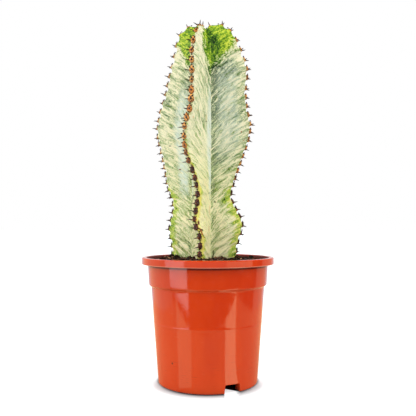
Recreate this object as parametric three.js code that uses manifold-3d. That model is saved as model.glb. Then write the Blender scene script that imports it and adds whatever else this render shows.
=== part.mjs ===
// Potted euphorbia: a four-ribbed candelabra spurge standing in a plastic nursery pot.
// Units are millimetres, +Z is up, -Y is the front, and the origin is the centre of the
// pot's foot at ground level.
import * as THREE from 'three';
import { mergeVertices } from 'three/addons/utils/BufferGeometryUtils.js';
import Module from 'manifold-3d';

const wasm = await Module();
wasm.setup();

// ---------------------------------------------------------------- driving dimensions

const GAP = 0.3;                 // clearance kept between pieces that touch
const SIDES = 44;                // facets round the pot and the soil

// Pot: a tapered wall, a stacking shoulder, a rim that is turned out and down, a raised floor.
const RIM_RADIUS = 85;
const POT_HEIGHT = 158;
const WALL = 1.5;
const FOOT_RADIUS = 63.5;
const FOOT_RING = { width: 2.6, edge: 0.8 };     // the flat ring that it stands on
const SHOULDER_FOOT = { radius: 72.8, height: 121 };
const SHOULDER_TOP = { radius: 75.8, height: 123.2 };
const NECK_RADIUS = 77.4;        // outside of the wall where it meets the rim
const LIP_DROP = 8.7;            // height of the turned-down edge
const LIP_EDGE = 1.2;            // rounding of the rim's outer corners
const RIM_INNER_RADIUS = 79.6;
const FLARE_DROP = 3.6;          // how far down the inside flares out to the rim
const FLOOR_UNDERSIDE = 11;
const FLOOR_CORNER = 1.2;
const NOTCH = { count: 3, first: -62.3, width: 21.5, taper: 1.6, height: 10.3, corner: 1 };
const DRAIN = { count: 8, circle: 38, radius: 4.5, facets: 12 };

// Soil: potting mix with lumps, a little higher round the stem.
const SOIL_AT_WALL = 152.6;
const SOIL_AT_STEM = 154.4;
const SOIL_RINGS = [73, 67, 61, 55, 48.5, 42, 34, 24];
const CLEAR_OF_CREST = 14;       // no lumps nearer than this to a crest
const LUMPS = { count: 130, low: 0.8, high: 2.4, small: 4, large: 8 };

// Stem: four wing-like ribs round one core, rooted in the soil.
const STEM_X = -4.5;
const APEX = 454.5;
const CORE_RADIUS = 17;
const CROWN = 52;                // length of crest that bends over into the apex
const CROWN_NOTCH = 7.5;         // depth of the valleys between the lobes at the top
const CREST_HALF_WIDTH = 3.1;
const NARROW_TIP = 12;           // length of crest that narrows to nothing at the apex
const CREST_ROUNDING = 0.85;     // depth of the rounded edge as a share of its half width
const STUMP = [[112, 0.3], [119, 0.62], [132, 0.88]];   // [height, share of the width at soil]
const FLANK_STEPS = [0.34, 0.68];

// Each crest runs from the soil to the apex as [distance from the stem's axis, height].
// Azimuths are degrees from +X, counter-clockwise from above, as [height, azimuth].
const RIBS = [
  {
    name: 'right', first: 9,
    crest: [[42, 150], [43.6, 172], [50.6, 200], [42.4, 220], [36, 237], [42.2, 262], [51.2, 287],
      [58.6, 308], [61, 327], [57, 348], [55.2, 370], [57.2, 398], [50.2, 421], [44.2, 436],
      [37.7, 448.8], [25.4, 459], [13, 461.6], [5, 458.6], [0, APEX]],
    azimuth: [[150, -14.5], [460, -14.5]],
  },
  {
    name: 'back', first: 14,
    crest: [[42, 150], [45, 175], [48.5, 198], [41, 222], [39, 240], [47, 265], [53.5, 288],
      [60.5, 312], [60, 336], [56, 360], [51.5, 392], [47, 418], [40.5, 438], [33, 449],
      [22, 455.6], [12, 457.2], [5, 456.4], [0, APEX]],
    azimuth: [[150, 78], [200, 73], [240, 77], [300, 70], [340, 73], [400, 76], [460, 75]],
  },
  {
    name: 'left', first: 8,
    crest: [[44, 150], [44.8, 174], [48.2, 194], [42.8, 224], [50.6, 250], [55, 276], [60.4, 300],
      [65, 321], [62, 346], [54.6, 370], [47.6, 400], [41, 426], [36.8, 445], [30, 456],
      [20, 461.6], [11, 461.4], [5, 458], [0, APEX]],
    azimuth: [[150, 165.5], [460, 165.5]],
  },
  {
    name: 'front', first: 12,
    crest: [[43, 150], [44.6, 173], [48, 198], [41, 222], [42, 240], [48.5, 265], [53.5, 286],
      [60, 308], [61.6, 328], [57.5, 350], [53.4, 378], [50.4, 406], [44.4, 424], [38.6, 440],
      [30, 450.4], [20, 455], [11, 456.6], [5, 456], [0, APEX]],
    azimuth: [[150, -99], [182, -96.5], [205, -105], [238, -101.5], [262, -106], [286, -114.5],
      [317, -113], [342, -107], [370, -106.6], [400, -107.6], [424, -109.5], [450, -105],
      [465, -104.5]],
  },
];
const VALLEY_AZIMUTHS = [30.5, 120.5, -149.5, -59.5];   // after each rib in turn

// Areoles: a horny shield on the crest with a pair of spines, spaced down from the apex.
const AREOLES_PER_RIB = 29;
const TOOTHED_AREOLES = 13;      // the young ones at the top, where the crest dips between them
const PITCH = [[0, 16], [40, 15], [90, 13], [150, 11.4], [210, 10.2], [260, 10.4], [300, 11.3],
  [345, 11]];
const TOOTH = [[0, 1], [40, 1.3], [80, 1.8], [150, 0.6]];  // dip of the crest between areoles
const FLANK_BULGE = [[0, 0.5], [60, 0.8], [120, -0.8], [230, -0.6], [345, 1.6]];
const SHIELD = { halfWidth: 3.8, widest: -0.4, up: 7, down: 5, proud: 1.4, sunk: 1.7 };
const LOWEST_AREOLE = 160;       // those further down are under the soil
const STRAY = 1.6;               // how far an areole may lie off its even spacing
const SPINE = { shortest: 5.6, longest: 8.8, spread: 33, stray: 14, radius: 0.62, root: 3 };
const SPINE_FOOT = { apart: 1.2, below: 1 };
const SPINE_LIFT = [-0.14, 0.1];  // how far a spine leans down or up along its crest
// The dried leaf's middle line, as [across, along, out] from the areole that bears it.
const DRIED_LEAF = {
  height: 193, width: 1.5, thickness: 0.9,
  line: [[0.4, 1, -0.9], [2.3, -2.9, 0.8], [4.2, -6.7, 0.3], [5.8, -10, -2]],
};

// Material colours, as seen in daylight.
const TERRACOTTA = 0xc8431f;
const PEAT = 0x2a1c14;
const VARIEGATED = 0xd3d6a0;

// ---------------------------------------------------------------- small helpers

const radians = THREE.MathUtils.degToRad;

/** A repeatable draw from 0 to 1 for a whole number. */
function draw(index) {
  const value = Math.sin(index * 12.9898 + 4.1414) * 43758.5453;
  return value - Math.floor(value);
}

/** Value at x of a smooth curve through [x, value] knots. */
function through(knots, x) {
  const last = knots.length - 1;
  if (x <= knots[0][0]) return knots[0][1];
  if (x >= knots[last][0]) return knots[last][1];
  const i = knots.findIndex((knot) => knot[0] > x) - 1;
  const slope = (k) => {
    const a = knots[Math.max(k - 1, 0)];
    const b = knots[Math.min(k + 1, last)];
    return (b[1] - a[1]) / (b[0] - a[0]);
  };
  const span = knots[i + 1][0] - knots[i][0];
  const t = (x - knots[i][0]) / span;
  const h = t * t * (3 - 2 * t);
  return knots[i][1] * (1 - h) + knots[i + 1][1] * h
    + span * t * (1 - t) * (slope(i) * (1 - t) - slope(i + 1) * t);
}

/** A closed solid from points [x, y, z] and triangles of point numbers. */
function solidFrom(points, triangles) {
  return new wasm.Manifold(new wasm.Mesh({
    numProp: 3,
    vertProperties: new Float32Array(points.flat()),
    triVerts: new Uint32Array(triangles.flat()),
  }));
}

/** A closed three.js geometry as a solid, with its shared corners merged. */
function solidOf(geometry) {
  const bare = geometry.clone();
  bare.deleteAttribute('normal');
  bare.deleteAttribute('uv');
  const merged = mergeVertices(bare, 1e-4);
  const place = merged.attributes.position;
  const points = [];
  for (let i = 0; i < place.count; i += 1) {
    points.push([place.getX(i), place.getY(i), place.getZ(i)]);
  }
  const corners = Array.from(merged.index.array);
  const triangles = [];
  for (let i = 0; i < corners.length; i += 3) {
    const [a, b, c] = corners.slice(i, i + 3);
    if (a !== b && b !== c && c !== a) triangles.push([a, b, c]);
  }
  return solidFrom(points, triangles);
}

/** Rings of equal length, from the bottom up, closed to a point below and a point above. */
function skin(bottom, rings, top) {
  const around = rings[0].length;
  const points = [bottom, ...rings.flat(), top];
  const topIndex = points.length - 1;
  const at = (ring, i) => 1 + ring * around + (i % around);
  const triangles = [];
  for (let i = 0; i < around; i += 1) {
    triangles.push([0, at(0, i + 1), at(0, i)]);
    triangles.push([topIndex, at(rings.length - 1, i), at(rings.length - 1, i + 1)]);
    for (let ring = 0; ring + 1 < rings.length; ring += 1) {
      triangles.push([at(ring, i), at(ring, i + 1), at(ring + 1, i + 1)]);
      triangles.push([at(ring, i), at(ring + 1, i + 1), at(ring + 1, i)]);
    }
  }
  return solidFrom(points, triangles);
}

/** The outside skin of a solid alone, which fills any hollow that joining pieces has sealed. */
function withoutHollows(solid) {
  return solid.decompose().reduce((one, two) => (two.volume() > one.volume() ? two : one));
}

/** A named mesh of a solid. */
function meshOf(name, solid, colour, roughness) {
  const { vertProperties, triVerts } = solid.getMesh();
  const geometry = new THREE.BufferGeometry();
  geometry.setAttribute('position', new THREE.BufferAttribute(vertProperties, 3));
  geometry.setIndex(new THREE.BufferAttribute(triVerts, 1));
  geometry.computeVertexNormals();
  const material = new THREE.MeshStandardMaterial({ color: colour, roughness, metalness: 0 });
  const mesh = new THREE.Mesh(geometry, material);
  mesh.name = name;
  return mesh;
}

// ---------------------------------------------------------------- pot

/** Outside radius of the tapered wall below the shoulder. */
function taperRadius(height) {
  return THREE.MathUtils.lerp(FOOT_RADIUS, SHOULDER_FOOT.radius, height / SHOULDER_FOOT.height);
}

/** Points of the wall's inside face from the floor to the neck, set in by an extra gap. */
function innerWall(gap) {
  const floor = FLOOR_UNDERSIDE + WALL + gap;
  const inset = WALL + gap;
  return [
    [taperRadius(floor) - inset - FLOOR_CORNER, floor],
    [taperRadius(floor + FLOOR_CORNER) - inset, floor + FLOOR_CORNER],
    [SHOULDER_FOOT.radius - inset, SHOULDER_FOOT.height + gap],
    [SHOULDER_TOP.radius - inset, SHOULDER_TOP.height + gap],
    [NECK_RADIUS - inset, POT_HEIGHT - LIP_DROP],
  ];
}

/** Half outline of the pot as [radius, height], closed on the axis. */
function potOutline() {
  const lipFoot = POT_HEIGHT - LIP_DROP;
  const ringOuter = FOOT_RADIUS - FOOT_RING.edge;
  return [
    [0, FLOOR_UNDERSIDE],
    [ringOuter - FOOT_RING.width, FLOOR_UNDERSIDE],
    [ringOuter - FOOT_RING.width, 0],
    [ringOuter, 0],
    [FOOT_RADIUS, FOOT_RING.edge],
    [SHOULDER_FOOT.radius, SHOULDER_FOOT.height],
    [SHOULDER_TOP.radius, SHOULDER_TOP.height],
    [NECK_RADIUS, lipFoot],
    [NECK_RADIUS, POT_HEIGHT - WALL],
    [RIM_RADIUS - WALL, POT_HEIGHT - WALL],
    [RIM_RADIUS - WALL, lipFoot],
    [RIM_RADIUS - WALL / 4, lipFoot],
    [RIM_RADIUS, lipFoot + LIP_EDGE],
    [RIM_RADIUS, POT_HEIGHT - LIP_EDGE],
    [RIM_RADIUS - LIP_EDGE, POT_HEIGHT],
    [RIM_INNER_RADIUS, POT_HEIGHT],
    [NECK_RADIUS, POT_HEIGHT - LIP_EDGE],
    [NECK_RADIUS - WALL, POT_HEIGHT - FLARE_DROP],
    ...innerWall(0).reverse(),
    [0, FLOOR_UNDERSIDE + WALL],
  ];
}

/** A cutter for one drainage notch in the foot, narrower at its top. */
function notchCutter(azimuth) {
  const foot = NOTCH.width / 2;
  const top = foot - NOTCH.taper;
  const outline = new THREE.Shape([
    new THREE.Vector2(-foot, -1),
    new THREE.Vector2(foot, -1),
    new THREE.Vector2(top, NOTCH.height - NOTCH.corner),
    new THREE.Vector2(top - NOTCH.corner, NOTCH.height),
    new THREE.Vector2(NOTCH.corner - top, NOTCH.height),
    new THREE.Vector2(-top, NOTCH.height - NOTCH.corner),
  ]);
  const block = new THREE.ExtrudeGeometry(outline, { depth: RIM_RADIUS, bevelEnabled: false });
  block.rotateX(Math.PI / 2);
  block.translate(0, -FOOT_RADIUS / 2, 0);
  block.rotateZ(radians(azimuth + 90));
  return solidOf(block);
}

/** A cutter for one round drain hole in the floor. */
function drainCutter(x, y) {
  const plug = new THREE.CylinderGeometry(DRAIN.radius, DRAIN.radius, 4 * WALL, DRAIN.facets);
  plug.rotateX(Math.PI / 2);
  plug.translate(x, y, FLOOR_UNDERSIDE + WALL / 2);
  return solidOf(plug);
}

function makePot() {
  const outline = potOutline().map(([radius, height]) => new THREE.Vector2(radius, height));
  const shell = new THREE.LatheGeometry(outline, SIDES);
  shell.rotateX(Math.PI / 2);
  let pot = solidOf(shell);
  for (let i = 0; i < NOTCH.count; i += 1) {
    pot = pot.subtract(notchCutter(NOTCH.first + i * 360 / NOTCH.count));
  }
  pot = pot.subtract(drainCutter(0, 0));
  for (let i = 0; i < DRAIN.count; i += 1) {
    const angle = 2 * Math.PI * (i + 0.5) / DRAIN.count;
    pot = pot.subtract(drainCutter(DRAIN.circle * Math.cos(angle), DRAIN.circle * Math.sin(angle)));
  }
  return meshOf('pot', pot, TERRACOTTA, 0.35);
}

// ---------------------------------------------------------------- stem

/** Add to each rib its crest path and the distances of its areoles down from the apex. */
function laidOut(rib, index) {
  const points = rib.crest.map(([radius, height]) => new THREE.Vector2(radius, height)).reverse();
  const path = new THREE.SplineCurve(points);
  path.arcLengthDivisions = 600;
  const areoles = [];
  let distance = rib.first;
  for (let i = 0; i < AREOLES_PER_RIB; i += 1) {
    areoles.push(distance + STRAY * (draw(index * 97 + i) - 0.5));
    distance += through(PITCH, distance);
  }
  return { ...rib, index, path, length: path.getLength(), areoles };
}

const ribs = RIBS.map(laidOut);

/** Crest of a rib at a distance down from the apex: place, outward, sideways and upward. */
function crestAt(rib, distance, sink) {
  const u = Math.min(Math.max(distance / rib.length, 0), 1);
  const flat = rib.path.getPointAt(u);
  const along = rib.path.getTangentAt(u);
  const azimuth = radians(through(rib.azimuth, flat.y));
  const radial = new THREE.Vector3(Math.cos(azimuth), Math.sin(azimuth), 0);
  const side = new THREE.Vector3(-Math.sin(azimuth), Math.cos(azimuth), 0);
  const up = radial.clone().multiplyScalar(-along.x);
  up.z = -along.y;
  const out = side.clone().cross(up).normalize();
  const place = radial.clone().multiplyScalar(flat.x);
  place.x += STEM_X;
  place.z = flat.y;
  place.addScaledVector(out, -sink);
  return { place, out, side, up, radius: flat.x, height: flat.y };
}

/** Bottom of the valley after a rib, from the crest points on both sides of it. */
function valleyAt(index, here, next, distance, swell) {
  const crown = Math.min(distance / CROWN, 1);
  const radius = CORE_RADIUS * crown ** 0.75 + swell;
  const azimuth = radians(VALLEY_AZIMUTHS[index]);
  const height = (here.height + next.height) / 2 - CROWN_NOTCH * Math.sin(Math.PI * crown);
  return new THREE.Vector3(STEM_X + radius * Math.cos(azimuth), radius * Math.sin(azimuth), height);
}

/** Points of one flank, from the crest's shoulder in to the valley, without the valley. */
function flankPoints(crest, valley, turn, bulge, halfWidth) {
  const shoulder = crest.place.clone();
  shoulder.addScaledVector(crest.out, -halfWidth * CREST_ROUNDING);
  shoulder.addScaledVector(crest.side, turn * halfWidth);
  const points = [shoulder];
  for (const step of FLANK_STEPS) {
    const point = shoulder.clone().lerp(valley, step);
    point.addScaledVector(crest.side, turn * bulge * Math.sin(Math.PI * step));
    points.push(point);
  }
  return points;
}

/** One ring of points round the stem, with a distance from the apex for each rib. */
function stemRing(distances, swell, toothOf = () => 0) {
  const crests = ribs.map((rib, k) => crestAt(rib, distances[k], toothOf(distances[k]) - swell));
  const ring = [];
  crests.forEach((crest, k) => {
    const before = (k + ribs.length - 1) % ribs.length;
    const after = (k + 1) % ribs.length;
    const bulge = through(FLANK_BULGE, distances[k]);
    const halfWidth = CREST_HALF_WIDTH * Math.min(1, distances[k] / NARROW_TIP) + swell;
    const meanBefore = (distances[before] + distances[k]) / 2;
    const meanAfter = (distances[k] + distances[after]) / 2;
    const valleyBefore = valleyAt(before, crests[before], crest, meanBefore, swell);
    const valleyAfter = valleyAt(k, crest, crests[after], meanAfter, swell);
    ring.push(...flankPoints(crest, valleyBefore, -1, bulge, halfWidth).reverse());
    ring.push(crest.place);
    ring.push(...flankPoints(crest, valleyAfter, 1, bulge, halfWidth));
    ring.push(valleyAfter);
  });
  return ring.map((point) => point.toArray());
}

/** The ribbed body with its stump in the soil. A swell makes it larger all round. */
function stemBody(swell) {
  const rootward = ribs.map((rib) => rib.length);
  const plain = stemRing(rootward, 0);
  const atSoil = stemRing(rootward, swell);
  const rings = STUMP.map(([height, share]) => atSoil.map(([x, y], i) => [
    x + (STEM_X - plain[i][0]) * (1 - share),
    y - plain[i][1] * (1 - share),
    height,
  ]));
  rings.push(atSoil);
  for (let i = AREOLES_PER_RIB - 1; i >= 0; i -= 1) {
    rings.push(stemRing(ribs.map((rib) => rib.areoles[i]), swell));
    if (i < TOOTHED_AREOLES) {
      const between = ribs.map((rib) => (rib.areoles[i] + (rib.areoles[i - 1] ?? 0)) / 2);
      rings.push(stemRing(between, swell, (distance) => through(TOOTH, distance)));
    }
  }
  return skin([STEM_X, 0, STUMP[0][0] - 2 - swell], rings, [STEM_X, 0, APEX + swell]);
}

/** One horny shield, a low pyramid with its tip towards the apex and its root in the crest. */
function shieldOn(crest) {
  const { halfWidth, widest, up, down, proud, sunk } = SHIELD;
  const outline = [[0, up], [-halfWidth, widest], [0, -down], [halfWidth, widest]];
  const place = (across, along, out) => crest.place.clone()
    .addScaledVector(crest.side, across)
    .addScaledVector(crest.up, along)
    .addScaledVector(crest.out, out)
    .toArray();
  const base = outline.map(([across, along]) => place(across, along, -sunk));
  const count = outline.length;
  const triangles = [];
  for (let i = 0; i < count; i += 1) {
    const next = (i + 1) % count;
    triangles.push([count, i, next], [count + 1, next, i]);
  }
  const top = place(0, -SPINE_FOOT.below, proud);
  const root = place(0, 0, -sunk - 1);
  return solidFrom([...base, top, root], triangles);
}

/** One spine, leaning sideways from the crest's outward direction. */
function spineOn(crest, turn, seed) {
  const lean = radians(SPINE.spread + SPINE.stray * (draw(seed) - 0.5));
  const length = THREE.MathUtils.lerp(SPINE.shortest, SPINE.longest, draw(seed + 1));
  const direction = crest.out.clone().multiplyScalar(Math.cos(lean))
    .addScaledVector(crest.side, turn * Math.sin(lean))
    .addScaledVector(crest.up, THREE.MathUtils.lerp(...SPINE_LIFT, draw(seed + 2)))
    .normalize();
  const spine = new THREE.ConeGeometry(SPINE.radius, length + SPINE.root, 3);
  spine.translate(0, (length + SPINE.root) / 2 - SPINE.root, 0);
  spine.applyQuaternion(new THREE.Quaternion()
    .setFromUnitVectors(new THREE.Vector3(0, 1, 0), direction));
  const foot = crest.place.clone()
    .addScaledVector(crest.side, turn * SPINE_FOOT.apart)
    .addScaledVector(crest.up, -SPINE_FOOT.below);
  spine.translate(foot.x, foot.y, foot.z);
  return solidOf(spine);
}

/** A dried leaf that still hangs from the front rib, curled down along its right flank. */
function driedLeaf() {
  const rib = ribs.find((each) => each.name === 'front');
  const distance = rib.areoles.find((each) => crestAt(rib, each, 0).height < DRIED_LEAF.height);
  const crest = crestAt(rib, distance, 0);
  const rings = DRIED_LEAF.line.map(([across, along, out], i) => {
    const half = DRIED_LEAF.width * (1 - i / 6) / 2;
    const corner = (side, lift) => crest.place.clone()
      .addScaledVector(crest.side, across + side)
      .addScaledVector(crest.up, along)
      .addScaledVector(crest.out, out + lift)
      .toArray();
    const thick = DRIED_LEAF.thickness;
    return [corner(-half, 0), corner(-half, thick), corner(half, thick), corner(half, 0)];
  });
  const middle = (ring) => ring[0].map((value, axis) => (value + ring[2][axis]) / 2);
  return skin(middle(rings[0]), rings, middle(rings[rings.length - 1]));
}

function makeStem() {
  let stem = stemBody(0);
  for (const rib of ribs) {
    rib.areoles.forEach((distance, i) => {
      const crest = crestAt(rib, distance, 0);
      if (crest.height < LOWEST_AREOLE) return;
      const seed = 1000 * (rib.index + 1) + 10 * i;
      const areole = shieldOn(crest).add(spineOn(crest, -1, seed)).add(spineOn(crest, 1, seed + 5));
      stem = stem.add(areole);
    });
  }
  return meshOf('stem', withoutHollows(stem.add(driedLeaf())), VARIEGATED, 0.55);
}

// ---------------------------------------------------------------- soil

/** Rounded lumps of potting mix, spread evenly over the surface. */
function soilLumps() {
  const lumps = [];
  const golden = Math.PI * (3 - Math.sqrt(5));
  for (let i = 0; i < LUMPS.count; i += 1) {
    const radius = SOIL_RINGS[0] * Math.sqrt((i + 0.5) / LUMPS.count);
    lumps.push({
      x: radius * Math.cos(i * golden),
      y: radius * Math.sin(i * golden),
      reach: THREE.MathUtils.lerp(LUMPS.small, LUMPS.large, draw(3 * i + 5001)),
      rise: THREE.MathUtils.lerp(LUMPS.low, LUMPS.high, draw(3 * i + 5002)),
    });
  }
  return lumps;
}

const lumps = soilLumps();

const crestFeet = ribs.map((rib) => crestAt(rib, rib.length - 6, 0).place);

/** Height of the soil's surface at a place, with no lumps where a crest stands in it. */
function soilHeight(x, y) {
  const radius = Math.hypot(x, y);
  const mound = SOIL_AT_STEM + (SOIL_AT_WALL - SOIL_AT_STEM) * Math.min(radius / NECK_RADIUS, 1);
  let rise = 0;
  for (const lump of lumps) {
    const away = Math.hypot(x - lump.x, y - lump.y) / lump.reach;
    if (away < 1) rise = Math.max(rise, lump.rise * Math.sqrt(1 - away * away));
  }
  const clear = Math.min(...crestFeet.map((foot) => Math.hypot(x - foot.x, y - foot.y)));
  return mound + rise * THREE.MathUtils.smoothstep(clear, CLEAR_OF_CREST / 2, CLEAR_OF_CREST);
}

function makeSoil() {
  const outline = innerWall(GAP);
  const edge = outline.pop();
  const ringAt = (radius, heightAt) => Array.from({ length: SIDES }, (_, i) => {
    const angle = 2 * Math.PI * i / SIDES;
    const x = radius * Math.cos(angle);
    const y = radius * Math.sin(angle);
    return [x, y, heightAt(x, y)];
  });
  const rings = outline.map(([radius, height]) => ringAt(radius, () => height));
  rings.push(ringAt(edge[0], () => SOIL_AT_WALL - 1));
  for (const radius of SOIL_RINGS) {
    rings.push(ringAt(radius, soilHeight));
  }
  const mix = skin([0, 0, outline[0][1]], rings, [0, 0, SOIL_AT_STEM]);
  return meshOf('soil', mix.subtract(stemBody(GAP)), PEAT, 0.95);
}

// ---------------------------------------------------------------- the whole plant

const plant = new THREE.Group();
plant.add(makePot(), makeSoil(), makeStem());

export default plant;
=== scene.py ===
"""Potted euphorbia: a variegated, four-ribbed candelabra spurge in a plastic nursery pot.

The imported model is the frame. Every visible piece is made here as a finer surface in the same
place. Shapes are worked out in millimetres and put into the meshes in metres; +Z is up, -Y is the
front, and the origin is the centre of the pot's foot.
"""

import logging
import math
from dataclasses import dataclass, field
from enum import IntEnum
from functools import reduce

import bpy
import numpy as np
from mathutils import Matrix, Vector
from mathutils.bvhtree import BVHTree


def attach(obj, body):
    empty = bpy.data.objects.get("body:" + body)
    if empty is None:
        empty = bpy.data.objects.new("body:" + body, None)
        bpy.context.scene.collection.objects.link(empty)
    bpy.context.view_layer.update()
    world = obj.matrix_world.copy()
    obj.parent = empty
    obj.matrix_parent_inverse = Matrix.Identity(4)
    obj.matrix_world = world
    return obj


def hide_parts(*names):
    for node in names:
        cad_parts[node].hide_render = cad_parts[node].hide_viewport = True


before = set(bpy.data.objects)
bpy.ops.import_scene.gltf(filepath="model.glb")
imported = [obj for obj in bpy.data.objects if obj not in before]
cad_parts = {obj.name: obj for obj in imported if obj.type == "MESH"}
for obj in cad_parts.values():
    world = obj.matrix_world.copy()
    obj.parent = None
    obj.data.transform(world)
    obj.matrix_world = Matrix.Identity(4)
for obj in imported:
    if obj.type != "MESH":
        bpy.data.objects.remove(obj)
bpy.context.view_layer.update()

log = logging.getLogger("potted_euphorbia")

MM = 0.001
BODY = "root"

Array = np.ndarray
Socket = bpy.types.NodeSocket
Material = bpy.types.Material
Pair = tuple[float, float]
Point = tuple[float, float, float]
Tint = tuple[float, float, float, float]


# ---- helpers


def draw(index: Array | float) -> Array:
    """Repeatable draws from 0 to 1: the fraction left by a large multiple of a sine."""
    value = np.sin(np.asarray(index, float) * 12.9898 + 4.1414) * 43758.5453
    return value - np.floor(value)


def between(low: float, high: float, share: Array | float) -> Array:
    """The value that lies a share of the way from low to high."""
    return low + (high - low) * np.asarray(share)


def smooth(value: Array, low: float, high: float) -> Array:
    """Rises from 0 at low to 1 at high as 3t squared less 2t cubed."""
    t = np.clip((np.asarray(value, float) - low) / (high - low), 0, 1)
    return t * t * (3 - 2 * t)


def through(knots: tuple, x: Array) -> Array:
    """A smooth curve through (x, value) knots: a cubic between each two, with mean slopes.

    Args:
        knots: the knots in order of x.
        x: where; outside the knots the end values hold.

    Returns:
        The values.
    """
    xs, ys = np.array(knots, float).T
    last = len(xs) - 1
    number = np.arange(last + 1)
    before, after = np.maximum(number - 1, 0), np.minimum(number + 1, last)
    slope = (ys[after] - ys[before]) / (xs[after] - xs[before])
    x = np.clip(np.asarray(x, float), xs[0], xs[-1])
    i = np.clip(np.searchsorted(xs, x, side="right") - 1, 0, last - 1)
    span = xs[i + 1] - xs[i]
    t = (x - xs[i]) / span
    h = t * t * (3 - 2 * t)
    bend = span * t * (1 - t) * (slope[i] * (1 - t) - slope[i + 1] * t)
    return ys[i] * (1 - h) + ys[i + 1] * h + bend


def unit(vectors: Array) -> Array:
    """The vectors at length one."""
    return vectors / np.linalg.norm(vectors, axis=-1, keepdims=True)


def turns(count: int) -> Array:
    """Angles spaced evenly once round a circle, in radians."""
    return 2 * np.pi * np.arange(count) / count


def around(radius: Array | float, angle: Array, height: Array | float) -> Array:
    """Points at a distance from the upright axis, an angle round it and a height."""
    return np.stack(np.broadcast_arrays(radius * np.cos(angle), radius * np.sin(angle), height), -1)


def grain(x: Array, y: Array, cell: float, seed: int) -> Array:
    """Smooth random heights: a draw at each corner of a square lattice, eased between them.

    Args:
        x: places along the first axis.
        y: places along the second.
        cell: the lattice's spacing.
        seed: picks the draws.

    Returns:
        Heights from 0 to 1.
    """
    i, j = np.floor(x / cell), np.floor(y / cell)
    f, g = x / cell - i, y / cell - j
    f, g = f * f * (3 - 2 * f), g * g * (3 - 2 * g)

    def corner(a: Array, b: Array) -> Array:
        """The draw at a lattice corner."""
        return draw(a * 157 + b * 311 + seed * 1013)

    low = corner(i, j) * (1 - f) + corner(i + 1, j) * f
    high = corner(i, j + 1) * (1 - f) + corner(i + 1, j + 1) * f
    return low * (1 - g) + high * g


def tint(red: int, green: int, blue: int) -> Tint:
    """A screen colour, from 0 to 255, as the shader's linear light, by the usual screen curve."""
    seen = np.array([red, green, blue]) / 255
    return (*np.where(seen <= 0.04045, seen / 12.92, ((seen + 0.055) / 1.055) ** 2.4).tolist(), 1.0)


# ---- meshes


@dataclass
class Surface:
    """Points in millimetres, faces, and values that a finish reads."""

    points: Array
    faces: list[list[int]]
    at_points: dict[str, Array] = field(default_factory=dict)
    at_corners: dict[str, Array] = field(default_factory=dict)
    uv: Array | None = None


def quads_of(rows: int, columns: int, closed: bool = True) -> Array:
    """Faces of a grid of points, wound so that rows going up face outwards.

    Args:
        rows: how many rows.
        columns: points in a row.
        closed: whether the last column joins the first.

    Returns:
        Four point numbers a face.
    """
    across = np.arange(columns if closed else columns - 1)
    up = np.arange(rows - 1)[:, None] * columns
    here, there = up + across, up + (across + 1) % columns
    return np.stack([here, there, there + columns, here + columns], -1).reshape(-1, 4)


def closed_rings(rings: Array, bottom: Array, top: Array) -> Surface:
    """A closed skin over rings of points that run counter-clockwise, from the bottom up.

    Args:
        rings: points as (ring, point, xyz).
        bottom: the point that closes it below.
        top: the one above.

    Returns:
        The surface.
    """
    rows, columns, _ = rings.shape
    points = np.vstack([rings.reshape(-1, 3), bottom, top])
    number = np.arange(columns)
    after = (number + 1) % columns
    low, high = rows * columns, rows * columns + 1
    under = np.stack([np.full(columns, low), after, number], -1)
    first = (rows - 1) * columns
    over = np.stack([np.full(columns, high), first + number, first + after], -1)
    faces = quads_of(rows, columns).tolist() + under.tolist() + over.tolist()
    return Surface(points, faces)


def ringed_copies(rings: Array, bottom: Array, top: Array) -> Surface:
    """A template for repeated: each copy has its own rings, as (copy, ring, point, xyz)."""
    points = np.concatenate([rings.reshape(len(rings), -1, 3), bottom[:, None], top[:, None]], 1)
    return Surface(points, closed_rings(rings[0], bottom[0], top[0]).faces)


def ball(lifts: Array, sides: int) -> Surface:
    """A ball of radius one: rings of points at latitudes in radians, from the bottom up."""
    rings = around(np.cos(lifts)[:, None], turns(sides), np.sin(lifts)[:, None])
    return closed_rings(rings, np.array([0, 0, -1.0]), np.array([0, 0, 1.0]))


def lathed(outline: Array, sides: int) -> Surface:
    """An outline of (radius, height) turned round the upright axis, on which both its ends lie."""
    rings = around(outline[1:-1, :1], turns(sides), outline[1:-1, 1:])
    return closed_rings(rings, np.array([0, 0, outline[0, 1]]), np.array([0, 0, outline[-1, 1]]))


def repeated(template: Surface, places: Array, frames: Array) -> Surface:
    """Copies of a template, each turned and placed.

    Args:
        template: its points are (point, xyz), or (copy, point, xyz) where each copy differs.
        places: the origins, as (copy, xyz).
        frames: the axes, as (copy, axis, xyz).

    Returns:
        All the copies as one surface.
    """
    local = np.broadcast_to(template.points, (len(places), *template.points.shape[-2:]))
    turned = np.einsum("cpa,cax->cpx", local, frames) + places[:, None]
    count = local.shape[1]
    sizes = np.array([len(face) for face in template.faces])
    faces = []
    for size in np.unique(sizes):
        block = np.array([face for face in template.faces if len(face) == size])
        step = np.arange(len(places))[:, None, None] * count
        faces += (block[None] + step).reshape(-1, size).tolist()
    return Surface(turned.reshape(-1, 3), faces)


def joined(surfaces: list[Surface]) -> Surface:
    """Surfaces as one surface of separate shells.

    Args:
        surfaces: the surfaces; all hold the same values.

    Returns:
        The surface.
    """
    counts = np.cumsum([0] + [len(surface.points) for surface in surfaces])
    faces = [[corner + int(start) for corner in face]
             for start, surface in zip(counts, surfaces) for face in surface.faces]
    values = {key: np.concatenate([surface.at_points[key] for surface in surfaces])
              for key in surfaces[0].at_points}
    return Surface(np.vstack([surface.points for surface in surfaces]), faces, values)


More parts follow.
